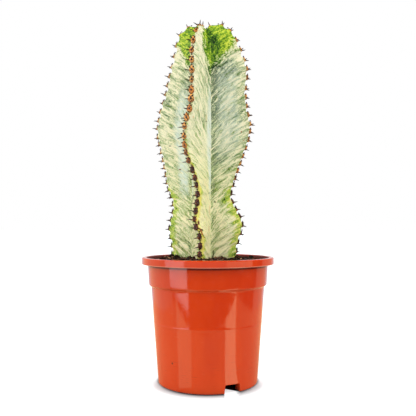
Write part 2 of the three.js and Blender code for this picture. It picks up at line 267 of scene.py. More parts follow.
def threaded(knots: tuple[Point, ...], count: int) -> tuple[Array, Array]:
    """A smooth line through places, stepped evenly by their numbers.

    Args:
        knots: the places.
        count: how many points it has.

    Returns:
        The points, and each one's share of the way.
    """
    places = np.array(knots)
    step = np.linspace(0, len(places) - 1, count)
    line = np.stack([through(tuple(enumerate(places[:, i])), step) for i in range(3)], -1)
    return line, step / step[-1]


def eased(corners: list[Point], steps: int = 5) -> Array:
    """An outline whose corners are rounded by curves of two parts.

    Args:
        corners: (radius, height, how far from the corner its curve starts).
        steps: points on a curve.

    Returns:
        The outline.
    """
    flat = np.array(corners)[:, :2]
    found = [flat[:1]]
    t = np.linspace(0, 1, steps)[:, None]
    for i, (_, _, reach) in enumerate(corners[1:-1], 1):
        if reach == 0:
            found.append(flat[i:i + 1])
            continue
        start = flat[i] + unit(flat[i - 1] - flat[i]) * reach
        end = flat[i] + unit(flat[i + 1] - flat[i]) * reach
        found.append(start * (1 - t) ** 2 + 2 * flat[i] * t * (1 - t) + end * t ** 2)
    found.append(flat[-1:])
    return np.vstack(found)


def stepped(outline: Array, longest: float) -> Array:
    """The outline with points added evenly.

    Args:
        outline: points as (radius, height).
        longest: the longest step.

    Returns:
        The outline.
    """
    parts = []
    for here, there in zip(outline[:-1], outline[1:]):
        count = max(1, math.ceil(float(np.linalg.norm(there - here)) / longest))
        parts.append(here + (there - here) * (np.arange(count) / count)[:, None])
    return np.vstack([*parts, outline[-1:]])


def mesh_of(name: str, surface: Surface) -> bpy.types.Mesh:
    """A surface as a mesh in metres, shaded smooth, with its values.

    Args:
        name: its name.
        surface: the surface.

    Returns:
        The mesh.
    """
    mesh = bpy.data.meshes.new(name)
    mesh.from_pydata((surface.points * MM).tolist(), [], surface.faces)
    mesh.shade_smooth()
    for domain, values in (("POINT", surface.at_points), ("CORNER", surface.at_corners)):
        for key, value in values.items():
            attribute = mesh.attributes.new(key, "FLOAT", domain)
            attribute.data.foreach_set("value", np.asarray(value, np.float32).ravel())
    if surface.uv is not None:
        layer = mesh.uv_layers.new(name="flank")
        layer.data.foreach_set("uv", np.asarray(surface.uv, np.float32).ravel())
    return mesh


def linked(name: str, data: bpy.types.ID) -> bpy.types.Object:
    """A new object of the scene."""
    made = bpy.data.objects.new(name, data)
    bpy.context.scene.collection.objects.link(made)
    return made


def piece_of(name: str, mesh: bpy.types.Mesh, finish: Material,
             stands_for: tuple[str, ...] = ()) -> bpy.types.Object:
    """A finished piece that rides on the plant's one body.

    Args:
        name: its name.
        mesh: its mesh, in place.
        finish: its material.
        stands_for: the nodes that it replaces.

    Returns:
        The piece.
    """
    piece = linked(name, mesh)
    mesh.materials.clear()
    mesh.materials.append(finish)
    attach(piece, BODY)
    if stands_for:
        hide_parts(*stands_for)
    log.info("%s: %d points, %d faces", name, len(mesh.vertices), len(mesh.polygons))
    return piece


# ---- finishes


class Bench:
    """Lays out the nodes of one material and keeps its shader."""

    def __init__(self, name: str) -> None:
        """Starts an empty material with a shader and an output.

        Args:
            name: its name.
        """
        self.material = bpy.data.materials.new(name)
        self.material.use_nodes = True
        self.tree = self.material.node_tree
        self.tree.nodes.clear()
        self.shader = self.add("ShaderNodeBsdfPrincipled")
        output = self.add("ShaderNodeOutputMaterial")
        self.tree.links.new(self.shader.outputs["BSDF"], output.inputs["Surface"])

    def add(self, kind: str, inputs: dict | None = None, **settings: object) -> bpy.types.Node:
        """Adds one node.

        Args:
            kind: its type.
            inputs: sockets to join or values, by input.
            settings: its own settings.

        Returns:
            The node.
        """
        node = self.tree.nodes.new(kind)
        for key, value in settings.items():
            setattr(node, key, value)
        self.fill(node, inputs or {})
        return node

    def fill(self, node: bpy.types.Node, inputs: dict) -> None:
        """Joins a node's inputs or sets them.

        Args:
            node: the node.
            inputs: sockets to join or values, by input.
        """
        for key, value in inputs.items():
            if isinstance(value, bpy.types.NodeSocket):
                self.tree.links.new(value, node.inputs[key])
            else:
                node.inputs[key].default_value = value

    def place(self) -> Socket:
        """The place on the piece, in metres."""
        return self.add("ShaderNodeTexCoord").outputs["Object"]

    def flank(self) -> Socket:
        """The piece's own UV map."""
        return self.add("ShaderNodeUVMap", uv_map="flank").outputs["UV"]

    def value(self, name: str) -> Socket:
        """A value that the mesh holds."""
        node = self.add("ShaderNodeAttribute", attribute_name=name, attribute_type="GEOMETRY")
        return node.outputs["Fac"]

    def vector(self, operation: str, *inputs: Socket | Point) -> bpy.types.Node:
        """A node that works on vectors."""
        return self.add("ShaderNodeVectorMath", dict(enumerate(inputs)), operation=operation)

    def math(self, operation: str, *inputs: Socket | float) -> Socket:
        """A value worked out from others."""
        return self.add("ShaderNodeMath", dict(enumerate(inputs)), operation=operation).outputs[0]

    def axis(self, vector: Socket, name: str) -> Socket:
        """A vector's X, Y or Z."""
        return self.add("ShaderNodeSeparateXYZ", {0: vector}).outputs[name]

    def length(self, vector: Socket) -> Socket:
        """A vector's length."""
        return self.vector("LENGTH", vector).outputs["Value"]

    def scaled(self, vector: Socket, scale: Point) -> Socket:
        """A vector with each part multiplied."""
        return self.vector("MULTIPLY", vector, scale).outputs["Vector"]

    def noise(self, vector: Socket, scale: float, detail: float = 3.0, roughness: float = 0.55) -> Socket:
        """Cloudy values, mostly from 0.3 to 0.7."""
        node = self.add("ShaderNodeTexNoise", {
            "Vector": vector, "Scale": scale, "Detail": detail, "Roughness": roughness, "Distortion": 0.0})
        return node.outputs["Fac"]

    def warped(self, vector: Socket, scale: float, amount: float) -> Socket:
        """A vector moved about by cloudy offsets.

        Args:
            vector: the vector.
            scale: clouds to a unit.
            amount: about how far.

        Returns:
            The vector.
        """
        cloud = self.add("ShaderNodeTexNoise", {"Vector": vector, "Scale": scale, "Detail": 2.0})
        middle = self.vector("SUBTRACT", cloud.outputs["Color"], (0.5, 0.5, 0.5))
        moved = self.vector("MULTIPLY_ADD", middle.outputs["Vector"], (2 * amount,) * 3, vector)
        return moved.outputs["Vector"]

    def sum(self, one: Socket | float, two: Socket | float, times: float = 1.0) -> Socket:
        """The second value times a number, added to the first."""
        return self.math("MULTIPLY_ADD", two, times, one)

    def product(self, one: Socket | float, two: Socket | float) -> Socket:
        """One value times another."""
        return self.math("MULTIPLY", one, two)

    def rise(self, value: Socket, low: float, high: float, top: float = 1.0) -> Socket:
        """A smooth rise: 3t squared less 2t cubed.

        Args:
            value: the value.
            low: where it is 0.
            high: where it is the top; may be below low.
            top: its most.

        Returns:
            The rise.
        """
        limits = (high, low, top, 0.0) if low > high else (low, high, 0.0, top)
        node = self.add("ShaderNodeMapRange", {
            "Value": value, "From Min": limits[0], "From Max": limits[1],
            "To Min": limits[2], "To Max": limits[3]}, interpolation_type="SMOOTHSTEP")
        return node.outputs["Result"]

    def mix(self, share: Socket | float, one: Socket | Tint, two: Socket | Tint) -> Socket:
        """One colour going over to another as the share goes from 0 to 1."""
        node = self.add("ShaderNodeMix", {0: share, 6: one, 7: two}, data_type="RGBA")
        return node.outputs[2]

    def layered(self, colour: Socket | Tint, value: Socket, *layers: tuple) -> Socket:
        """A colour with others laid over it, each as a value rises."""
        for low, high, over, *top in layers:
            colour = self.mix(self.rise(value, low, high, *top), colour, over)
        return colour

    def bump(self, height: Socket, distance: float, strength: float = 1.0,
             under: Socket | None = None) -> Socket:
        """A bumped normal.

        Args:
            height: the height from 0 to 1.
            distance: the metres that 1 stands for.
            strength: how strong.
            under: a normal that it is laid over.

        Returns:
            The normal.
        """
        inputs = {"Height": height, "Distance": distance, "Strength": strength}
        if under is not None:
            inputs["Normal"] = under
        return self.add("ShaderNodeBump", inputs).outputs["Normal"]

    def finish(self, colour: Socket | Tint, roughness: Socket | float,
               normal: Socket | None = None, **constants: float | Tint) -> Material:
        """Joins and sets the shader's inputs.

        Args:
            colour: the base colour.
            roughness: the roughness.
            normal: the bumped normal.
            constants: other inputs, with _ for a space.

        Returns:
            The material.
        """
        found = {"Base Color": colour, "Roughness": roughness}
        if normal is not None:
            found["Normal"] = normal
        found |= {key.replace("_", " "): value for key, value in constants.items()}
        self.fill(self.shader, found)
        return self.material


@dataclass(frozen=True)
class MouldedPlastic:
    """Terracotta-orange moulded polypropylene with a soft gloss and faint handling marks.

    A zone is a band of the pot: the heights and the distances from the axis, both in millimetres,
    between which it sets in, then its colour and strength. The zones paint a shadow under the lip,
    shade on the inner wall above the soil and a highlight along the lip's lower edge.
    """

    base: Tint = tint(205, 59, 13)
    deep: Tint = tint(195, 49, 10)
    dust: Tint = tint(206, 110, 78)
    soil: Tint = tint(70, 34, 16)
    # Painted shadow: a dark line on the neck just under the turned-down lip.
    grime: tuple = ((145.6, 147.4), (79.0, 77.6), tint(84, 18, 6), 0.85)
    # Painted shade: the inner wall above the soil darkened to a deep red-brown.
    inside: tuple = ((149.5, 150.5), (79.7, 78.0), tint(104, 22, 8), 0.9)
    # Painted highlight: a pale line along the lip's lower edge.
    worn_lip: tuple = ((150.6, 149.9), (83.8, 84.3), tint(240, 168, 138), 0.4)
    soiled: Pair = (60.0, 20.0)
    gloss: float = 0.1
    wear: float = 0.12
    matt_inside: float = 0.75
    speck: Point = (-42.6, -50.5, 33.3)
    speck_radius: float = 1.1

    def material(self) -> Material:
        """Cloudy colour, scuffs, zones, a dirt speck and a slightly uneven skin.

        Returns:
            The material.
        """
        bench = Bench("moulded_plastic")
        place = bench.place()
        tall = bench.scaled(place, (1.0, 1.0, 0.25))
        colour = bench.layered(self.base, bench.noise(tall, 24.0), (0.35, 0.7, self.deep))
        scuff = bench.noise(bench.scaled(place, (1.0, 1.0, 6.0)), 60.0, 5.0, 0.7)
        colour = bench.layered(colour, scuff, (0.6, 0.78, self.dust, 0.22))
        height, level = bench.axis(place, "Z"), bench.length(bench.scaled(place, (1.0, 1.0, 0.0)))
        # Painted shadow under the lip, painted shade on the inner wall and a painted highlight on the
        # lip's edge.
        for heights, radii, over, strength in (self.grime, self.inside, self.worn_lip):
            share = self.zone(bench, height, level, heights, radii)
            colour = bench.mix(bench.product(share, strength), colour, over)
        rubbed = bench.noise(bench.scaled(place, (1.0, 1.0, 22.0)), 45.0, 3.0, 0.7)
        high, low = self.soiled
        low = bench.product(bench.rise(height, high * MM, low * MM), bench.rise(rubbed, 0.6, 0.7, 0.3))
        colour = bench.mix(low, colour, self.soil)
        apart = bench.vector("DISTANCE", bench.warped(place, 900.0, 0.0004),
                             [axis * MM for axis in self.speck]).outputs["Value"]
        reach = self.speck_radius * MM
        colour = bench.layered(colour, apart, (1.6 * reach, 0.5 * reach, self.soil, 0.95))
        wear = bench.rise(bench.noise(place, 130.0, 4.0, 0.65), 0.4, 0.75)
        roughness = bench.sum(self.gloss - self.wear / 3, wear, self.wear)
        inside = self.zone(bench, height, level, *self.inside[:2])
        roughness = bench.sum(roughness, inside, self.matt_inside)
        skin = bench.bump(bench.noise(place, 420.0, 2.0), 0.00006, 0.5)
        waves = bench.bump(bench.noise(tall, 38.0, 1.0), 0.0006, 0.25, skin)
        return bench.finish(colour, roughness, waves, IOR=1.5)

    @staticmethod
    def zone(bench: Bench, height: Socket, level: Socket, heights: Pair, radii: Pair) -> Socket:
        """The share of a zone, from 0 outside it to 1 well inside."""
        rises = (bench.rise(value, first * MM, last * MM)
                 for value, (first, last) in ((height, heights), (level, radii)))
        return bench.product(*rises)


@dataclass(frozen=True)
class DampPeat:
    """Damp dark peat: near-black crumbs with brown fibres."""

    dark: Tint = tint(16, 9, 6)
    brown: Tint = tint(52, 30, 18)
    pale: Tint = tint(134, 82, 38)

    def material(self) -> Material:
        """Dark with brown and a few pale crumbs, rough and grainy.

        Returns:
            The material.
        """
        bench = Bench("damp_peat")
        place = bench.place()
        clumps = bench.noise(place, 260.0, 5.0, 0.65)
        colour = bench.layered(self.dark, clumps, (0.45, 0.68, self.brown))
        crumbs = bench.noise(place, 640.0, 3.0, 0.6)
        colour = bench.layered(colour, crumbs, (0.58, 0.68, self.pale, 0.75))
        grains = bench.bump(bench.noise(place, 900.0, 4.0, 0.7), 0.0006, 0.8)
        damp = bench.sum(0.62, bench.rise(clumps, 0.4, 0.6), 0.3)
        return bench.finish(colour, damp, grains, Specular_IOR_Level=0.12)


@dataclass(frozen=True)
class BarkAndFibre:
    """Bits of bark, wood and root in the mix, each with its own tone."""

    dark: Tint = tint(40, 22, 14)
    brown: Tint = tint(104, 62, 36)
    pale: Tint = tint(178, 132, 92)

    def material(self) -> Material:
        """A tone for each bit with a fine woody grain.

        Returns:
            The material.
        """
        bench = Bench("bark_and_fibre")
        grain_lines = bench.noise(bench.scaled(bench.place(), (1.0, 1.0, 3.0)), 500.0, 4.0, 0.7)
        shade = bench.sum(bench.value("tone"), bench.sum(-0.5, grain_lines), 0.8)
        colour = bench.layered(self.dark, shade, (0.1, 0.65, self.brown), (0.7, 1.05, self.pale))
        return bench.finish(colour, 0.8, bench.bump(grain_lines, 0.0005, 0.8))


@dataclass(frozen=True)
class Mark:
    """A small scar on the skin: its place in millimetres, its reach and its colour."""

    place: Point
    reach: Point
    colour: Tint
    strength: float = 0.9


@dataclass(frozen=True)
class SucculentSkin:
    """Waxy succulent skin: cream marbled with grey-green, lime where it is young or at the edge.

    The flank's UV map runs in centimetres down a rib and across a flank. The mesh's values say
    how green, warm, young (crown), near the crest (edge) and sheened each place is. The sheen is a
    pale bluish painted sheen; the green holds a darker band by the valleys that is partly painted
    shade, and painted shade in the valleys near the top.
    """

    cream: Tint = tint(234, 226, 190)
    warm_cream: Tint = tint(222, 212, 124)
    pale_green: Tint = tint(192, 198, 146)
    grey_green: Tint = tint(136, 154, 112)
    olive_green: Tint = tint(144, 165, 88)
    deep_green: Tint = tint(66, 92, 58)
    bright_lime: Tint = tint(198, 208, 58)
    lime: Tint = tint(146, 178, 20)
    leaf_green: Tint = tint(80, 128, 6)
    dark_leaf: Tint = tint(18, 54, 2)
    yellow: Tint = tint(224, 208, 88)
    # Painted sheen: the pale bluish colour laid on near the valleys.
    wax: Tint = tint(208, 219, 206)
    marks: tuple[Mark, ...] = ()

    def material(self) -> Material:
        """Marbling, then the margins, the crown and the marks over it.

        Returns:
            The material.
        """
        bench = Bench("succulent_skin")
        place, flank = bench.place(), bench.flank()
        bent = bench.warped(bench.warped(flank, 0.7, 0.2), 2.6, 0.05)
        broad = bench.noise(bench.scaled(bent, (1.2, 0.5, 1.0)), 1.0)
        streaks = bench.noise(bench.scaled(bent, (2.7, 0.6, 1.0)), 1.0, 4.0, 0.6)
        threads = bench.noise(bench.scaled(bent, (6.5, 1.4, 1.0)), 1.0, 2.0, 0.6)
        patches = bench.noise(flank, 0.45, 2.0)
        speckle = bench.noise(place, 620.0, 3.0, 0.6)
        blotch = bench.noise(bench.warped(place, 300.0, 0.002), 300.0, 4.0, 0.7)
        cloud = self.weighed(bench, -3.25, (broad, 1.3), (streaks, 2.4), (speckle, 1.1),
                             (patches, 0.8), (threads, 0.9))
        fleck = self.weighed(bench, -1.1, (streaks, 0.7), (speckle, 0.5), (blotch, 1.0))
        colour = self.marbling(bench, cloud, streaks, threads)
        colour = self.margins(bench, colour, fleck, broad, streaks)
        colour = self.crown(bench, colour, fleck, broad)
        for mark in self.marks:
            colour = self.marked(bench, place, mark, colour)
        pores = bench.bump(speckle, 0.0003, 0.5)
        relief = bench.bump(bench.sum(streaks, threads, 0.5), 0.0008, 0.5, pores)
        roughness = bench.sum(0.4, bench.rise(speckle, 0.3, 0.7), 0.2)
        return bench.finish(colour, roughness, relief, IOR=1.42, Subsurface_Weight=0.06,
                            Subsurface_Scale=0.003)

    @staticmethod
    def weighed(bench: Bench, start: Socket | float, *parts: tuple[Socket, float]) -> Socket:
        """A start value with others added, each times its weight."""
        return reduce(lambda found, part: bench.sum(found, *part), parts, start)

    def marbling(self, bench: Bench, cloud: Socket, streaks: Socket, threads: Socket) -> Socket:
        """Cream with green clouds, drawn out along the streaks, and thin cream veins over them.

        Args:
            bench: the bench.
            cloud: the clouds' height, about 0 in the middle.
            streaks: drawn-out clouds.
            threads: finer ones.

        Returns:
            The colour.
        """
        green, warm = bench.value("green"), bench.value("warm")
        level = bench.sum(green, bench.product(cloud, bench.sum(0.75, green, 1.2)))
        base = bench.mix(warm, self.cream, self.warm_cream)
        shade = bench.layered(self.grey_green, warm, (0.08, 0.34, self.olive_green))
        colour = bench.layered(base, level, (0.06, 0.42, self.pale_green), (0.3, 0.68, shade),
                               (0.64, 1.05, self.deep_green))
        for lines, width, over, strength in ((threads, 0.035, base, 0.8),
                                             (streaks, 0.02, self.grey_green, 0.6)):
            apart = bench.math("ABSOLUTE", bench.sum(-0.5, lines))
            colour = bench.layered(colour, apart, (width, 0.0, over, strength))
        # Painted sheen: pale bluish along the threads where the mesh's sheen value is high.
        sheen_share = bench.product(bench.value("wax"), bench.rise(threads, 0.32, 0.56, 0.88))
        return bench.mix(sheen_share, colour, self.wax)

    def margins(self, bench: Bench, colour: Socket, fleck: Socket, broad: Socket,
                streaks: Socket) -> Socket:
        """Yellow and lime along the crests, with a streaky inner limit.

        Args:
            bench: the bench.
            colour: the colour underneath.
            fleck: the flecks' height.
            broad: wide clouds.
            streaks: drawn-out clouds.

        Returns:
            The colour.
        """
        reach = self.weighed(bench, bench.value("edge"), (broad, 1.1), (streaks, 3.6))
        share = bench.rise(bench.sum(-2.35, reach), 0.2, 1.05, 0.85)
        fleck = bench.sum(fleck, bench.value("warm"), -0.3)
        rim = bench.layered(self.yellow, fleck, (-0.28, -0.1, self.bright_lime),
                            (-0.2, -0.04, self.lime, 0.85), (-0.08, 0.12, self.leaf_green, 0.85))
        return bench.mix(share, colour, rim)

    def crown(self, bench: Bench, colour: Socket, fleck: Socket, broad: Socket) -> Socket:
        """New growth: lime flecked with leaf and dark green, with painted dark-green shade where the ribs
        meet.

        Args:
            bench: the bench.
            colour: the colour underneath.
            fleck: the flecks' height.
            broad: wide clouds.

        Returns:
            The colour.
        """
        young = bench.sum(bench.sum(-0.5, broad), bench.value("crown"))
        share = bench.rise(bench.sum(young, fleck, 1.6), 0.25, 0.65)
        # Painted shade: the green value darkens the valleys where the ribs meet, over random flecks.
        depth = self.weighed(bench, 0.14, (fleck, 2.5), (bench.value("green"), 0.75))
        leafy = bench.layered(self.bright_lime, depth, (-0.05, 0.2, self.lime),
                              (0.2, 0.46, self.leaf_green), (0.48, 0.85, self.dark_leaf))
        return bench.mix(share, colour, leafy)

    @staticmethod
    def marked(bench: Bench, place: Socket, mark: Mark, colour: Socket) -> Socket:
        """The colour with one scar in it: an ellipsoid round the mark's place, blurred.

        Args:
            bench: the bench.
            place: the place on the skin.
            mark: the scar.
            colour: the colour underneath.

        Returns:
            The colour.
        """
        offset = bench.vector("SUBTRACT", bench.warped(place, 700.0, 0.0005),
                              [axis * MM for axis in mark.place]).outputs["Vector"]
        apart = bench.length(bench.scaled(offset, tuple(1 / (reach * MM) for reach in mark.reach)))
        return bench.layered(colour, apart, (1.15, 0.7, mark.colour, mark.strength))


@dataclass(frozen=True)
class Horn:
    """Horny shields and spines: orange when young, near-black with age, grey at the tips."""

    orange: Tint = tint(224, 132, 44)
    amber: Tint = tint(238, 170, 84)
    brown: Tint = tint(112, 48, 20)
    black: Tint = tint(44, 16, 10)
    grey: Tint = tint(150, 134, 124)

    def material(self) -> Material:
        """The mesh's age and tip values pick the colour, speckled by clouds.

        Returns:
            The material.
        """
        bench = Bench("horn")
        place, tone = bench.place(), bench.value("tone")
        speckle = bench.noise(place, 420.0, 4.0, 0.65)
        dots = bench.noise(place, 620.0, 1.0, 0.5)
        young = bench.layered(self.orange, bench.sum(speckle, tone, 0.25), (0.5, 0.72, self.amber))
        young = bench.layered(young, speckle, (0.46, 0.36, self.brown, 0.9))
        young = bench.layered(young, dots, (0.54, 0.6, self.black, 0.95))
        old = bench.layered(self.black, speckle, (0.46, 0.62, self.brown))
        old = bench.layered(old, dots, (0.62, 0.72, self.orange, 0.5))
        age = bench.sum(bench.sum(bench.value("age"), speckle, 0.9), tone, 0.35)
        colour = bench.layered(young, age, (0.95, 1.25, old))
        colour = bench.layered(colour, bench.value("tip"), (0.04, 0.3, self.black),
                               (0.66, 1.0, self.grey, 0.8))
        return bench.finish(colour, 0.45, bench.bump(speckle, 0.0005, 0.7), IOR=1.5)


@dataclass(frozen=True)
class PaleFloor:
    """A plain pale floor; where it is lifted it looks an even white, but for the pot's painted shadow.

    A limit is the two distances in millimetres that a smooth rise or fall runs between. The painted
    shadow holds back the lift near the foot, slightly stretched sideways and shifted to the front, and
    darkens the floor under the recess. A window of painted light shows through the front notch: it
    lies past a slanting line and between two limits across.
    """

    white: Tint = tint(232, 232, 232)
    lift: float = 0.0
    # Painted shadow: near black under the pot's recess.
    shut: Tint = (0.03, 0.02, 0.02, 1.0)
    shadow_stretch: Point = (0.88, 1.0, 1.0)
    shadow_shift: Point = (0.0, 20.0, 0.0)
    glow_limits: tuple = ((50.0, 66.0), (62.5, 67.5))
    open_limits: tuple = ((43.5, 53.5), (61.5, 66.0))
    window_slant: Point = (0.613, 1.0, 0.0)
    window_front: Pair = (-26.6, -27.8)
    window_left: Pair = (18.5, 20.5)
    window_right: Pair = (41.0, 31.0)

    def material(self) -> Material:
        """Matt white, with the lift as a glow that only the camera sees, held back near the pot to
        paint its shadow and let through in the window of painted light.

        Returns:
            The material.
        """
        bench, white = Bench("pale_floor"), self.white
        if self.lift:
            place = bench.place()
            shift = [axis * MM for axis in self.shadow_shift]
            ahead = bench.length(bench.vector("MULTIPLY_ADD", place, self.shadow_stretch,
                                              shift).outputs["Vector"])
            ways = (ahead, bench.length(place))
            window = self.window(bench, place)
            # Painted shadow and light: the glow and the white fade in away from the pot, and the window
            # lets both through.
            clear, free = (bench.math("MAXIMUM", window, bench.product(*(
                    bench.rise(way, near * MM, far * MM) for way, (near, far) in zip(ways, limits))))
                           for limits in (self.glow_limits, self.open_limits))
            seen = bench.add("ShaderNodeLightPath").outputs["Is Camera Ray"]
            bench.fill(bench.shader, {"Emission Strength": bench.product(
                seen, bench.product(clear, self.lift))})
            white = bench.mix(free, self.shut, self.white)
        return bench.finish(white, 0.9, Specular_IOR_Level=0.0, Emission_Color=(1, 1, 1, 1))

    def window(self, bench: Bench, place: Socket) -> Socket:
        """The share of the window of painted light, from 0 to 1.

        Args:
            bench: the bench.
            place: the place on the floor.

        Returns:
            The share.
        """
        slant = bench.vector("DOT_PRODUCT", place, self.window_slant).outputs["Value"]
        across = bench.axis(place, "X")
        front, left, right = (bench.rise(value, first * MM, last * MM) for value, (first, last) in (
                (slant, self.window_front), (across, self.window_left), (across, self.window_right)))
        return bench.product(front, bench.product(left, right))


# ---- pot


@dataclass
class Pot:
    """The nursery pot: tapered wall, stacking shoulder, turned-down rim, raised floor."""

    sides: int = 288
    height: float = 158.0
    rim_radius: float = 85.0
    wall: float = 1.5
    foot_radius: float = 63.5
    foot_ring: float = 2.6
    foot_chamfer: float = 0.8
    shoulder_foot: Pair = (72.8, 121.0)
    shoulder_top: Pair = (75.8, 123.2)
    neck_radius: float = 77.4
    lip_drop: float = 8.7
    rim_inner_radius: float = 79.6
    flare_drop: float = 3.6
    floor_underside: float = 11.0
    mould_line: Point = (76.0, 1.2, 0.16)
    notch_count: int = 3
    notch_first: float = -62.3
    notch_width: float = 21.5
    notch_taper: float = 0.9
    notch_height: float = 10.3
    cheek: Pair = (1.5, 8.0)
    cheek_foot: float = 0.4
    drain_count: int = 8
    drain_circle: float = 38.0
    drain_radius: float = 4.5
    edge_ease: float = 0.3
    longest_step: float = 2.5

    def taper(self, height: float) -> float:
        """Outside radius of the wall below the shoulder."""
        return float(between(self.foot_radius, self.shoulder_foot[0], height / self.shoulder_foot[1]))

    def skirt(self) -> float:
        """Inside radius of the skirt under the floor."""
        return self.foot_radius - self.foot_chamfer - self.foot_ring

    def outline(self) -> Array:
        """The half outline, from the floor's underside round to its top, with its corners eased.

        Returns:
            Points as (radius, height).
        """
        lip_foot = self.height - self.lip_drop
        line, half, ridge = self.mould_line
        rim, wall = self.rim_radius, self.wall
        floor_top = self.floor_underside + wall
        return eased([
            (0, self.floor_underside, 0),
            (self.skirt(), self.floor_underside, 1.0),
            (self.skirt(), 0, 0.5),
            (self.foot_radius - 0.1, 0, 0.9),
            (self.taper(line - half), line - half, 0),
            (self.taper(line) + ridge, line, 0.4),
            (self.taper(line + half), line + half, 0),
            (*self.shoulder_foot, 0.7),
            (*self.shoulder_top, 0.9),
            (self.neck_radius, lip_foot, 0),
            (self.neck_radius, self.height - wall, 0.7),
            (rim - wall, self.height - wall, 0.8),
            (rim - wall, lip_foot, 0.35),
            (rim - 0.1, lip_foot, 0.6),
            (rim, lip_foot + 1.0, 0),
            (rim, self.height, 1.5),
            (self.rim_inner_radius, self.height, 1.3),
            (self.neck_radius - 0.4, self.height - 1.6, 0.8),
            (self.neck_radius - wall, self.height - self.flare_drop, 1.2),
            (self.neck_radius - wall, lip_foot, 0),
            (self.shoulder_top[0] - wall, self.shoulder_top[1], 0.9),
            (self.shoulder_foot[0] - wall, self.shoulder_foot[1], 0.9),
            (self.taper(floor_top) - wall, floor_top, 1.6),
            (0, floor_top, 0),
        ])

    @staticmethod
    def prism(azimuth: float, section: Array, reach: Pair) -> Surface:
        """A section carried straight outwards.

        Args:
            azimuth: its direction in degrees.
            section: its corners as (sideways, height).
            reach: the radii of its ends.

        Returns:
            The surface.
        """
        out, side = (np.array([math.cos(turn), math.sin(turn), 0.0])
                     for turn in np.radians([azimuth, azimuth + 90]))
        rings = np.stack([radius * out + section[:, :1] * side + section[:, 1:] * (0, 0, 1)
                          for radius in reach])
        return closed_rings(rings, rings[0].mean(0), rings[1].mean(0))

    def notch_cutters(self) -> list[Surface]:
        """Wedges through the skirt, narrower at their tops.

        Returns:
            One for each notch.
        """
        foot, top = self.notch_width / 2, self.notch_width / 2 - self.notch_taper
        section = eased([(foot, -1, 0), (top, self.notch_height, 1.2),
                         (-top, self.notch_height, 1.2), (-foot, -1, 0)], 4)
        return [self.prism(azimuth, section, (self.foot_radius / 2, self.rim_radius))
                for azimuth in self.notches()]

    def cheek_blocks(self) -> list[Surface]:
        """Blocks inside the skirt; the notch cut through each leaves its two cheeks.

        Returns:
            One for each notch.
        """
        thick, depth = self.cheek
        half, top = self.notch_width / 2 + thick, self.floor_underside + self.wall / 3
        section = np.array([(-half, self.cheek_foot), (half, self.cheek_foot), (half, top), (-half, top)])
        reach = (self.skirt() - depth, self.skirt() + self.foot_chamfer)
        return [self.prism(azimuth, section, reach) for azimuth in self.notches()]

    def notches(self) -> list[float]:
        """Azimuths of the notches, in degrees."""
        return [self.notch_first + i * 360 / self.notch_count for i in range(self.notch_count)]

    def drain_cutters(self) -> list[Surface]:
        """Round plugs through the floor: one in the middle and the others on a circle.

        Returns:
            The plugs.
        """
        low, high = self.floor_underside - 2, self.floor_underside + self.wall + 2
        outline = np.array([(0, low), (self.drain_radius, low), (self.drain_radius, high), (0, high)])
        angle = 2 * math.pi * (np.arange(self.drain_count) + 0.5) / self.drain_count
        circle = around(self.drain_circle, angle, 0)
        plugs = [lathed(outline, 40) for _ in range(self.drain_count + 1)]
        for plug, place in zip(plugs[1:], circle):
            plug.points += place
        return plugs

    def build(self) -> None:
        """Turns the shell, joins the cheeks, cuts the notches and drain holes, eases the edges."""
        shells = {"shell": lathed(stepped(self.outline(), self.longest_step), self.sides),
                  "cheeks": joined(self.cheek_blocks()),
                  "cutter": joined(self.notch_cutters() + self.drain_cutters())}
        shell, cheeks, cutter = found = [linked(name, mesh_of(name, surface))
                                         for name, surface in shells.items()]
        for other, operation in ((cheeks, "UNION"), (cutter, "DIFFERENCE")):
            step = shell.modifiers.new(operation.lower(), "BOOLEAN")
            step.object, step.operation, step.solver = other, operation, "EXACT"
        ease = shell.modifiers.new("ease", "BEVEL")
        ease.width, ease.segments = self.edge_ease * MM, 2
        ease.limit_method, ease.angle_limit = "ANGLE", math.radians(50)
        seen = bpy.context.evaluated_depsgraph_get()
        mesh = bpy.data.meshes.new_from_object(shell.evaluated_get(seen))
        mesh.name = "pot_shell"
        for each in found:
            bpy.data.objects.remove(each)
        mesh.shade_smooth()
        mesh.set_sharp_from_angle(angle=math.radians(34))
        piece_of("pot_shell", mesh, MouldedPlastic().material(), ("pot",))


# ---- stem


@dataclass(frozen=True)
class Rib:
    """One rib: its crest as (distance from the axis, height) and azimuths as (height, degrees)."""

    name: str
    first: float
    crest: tuple[Pair, ...]
    azimuth: tuple[Pair, ...]


APEX = 454.5

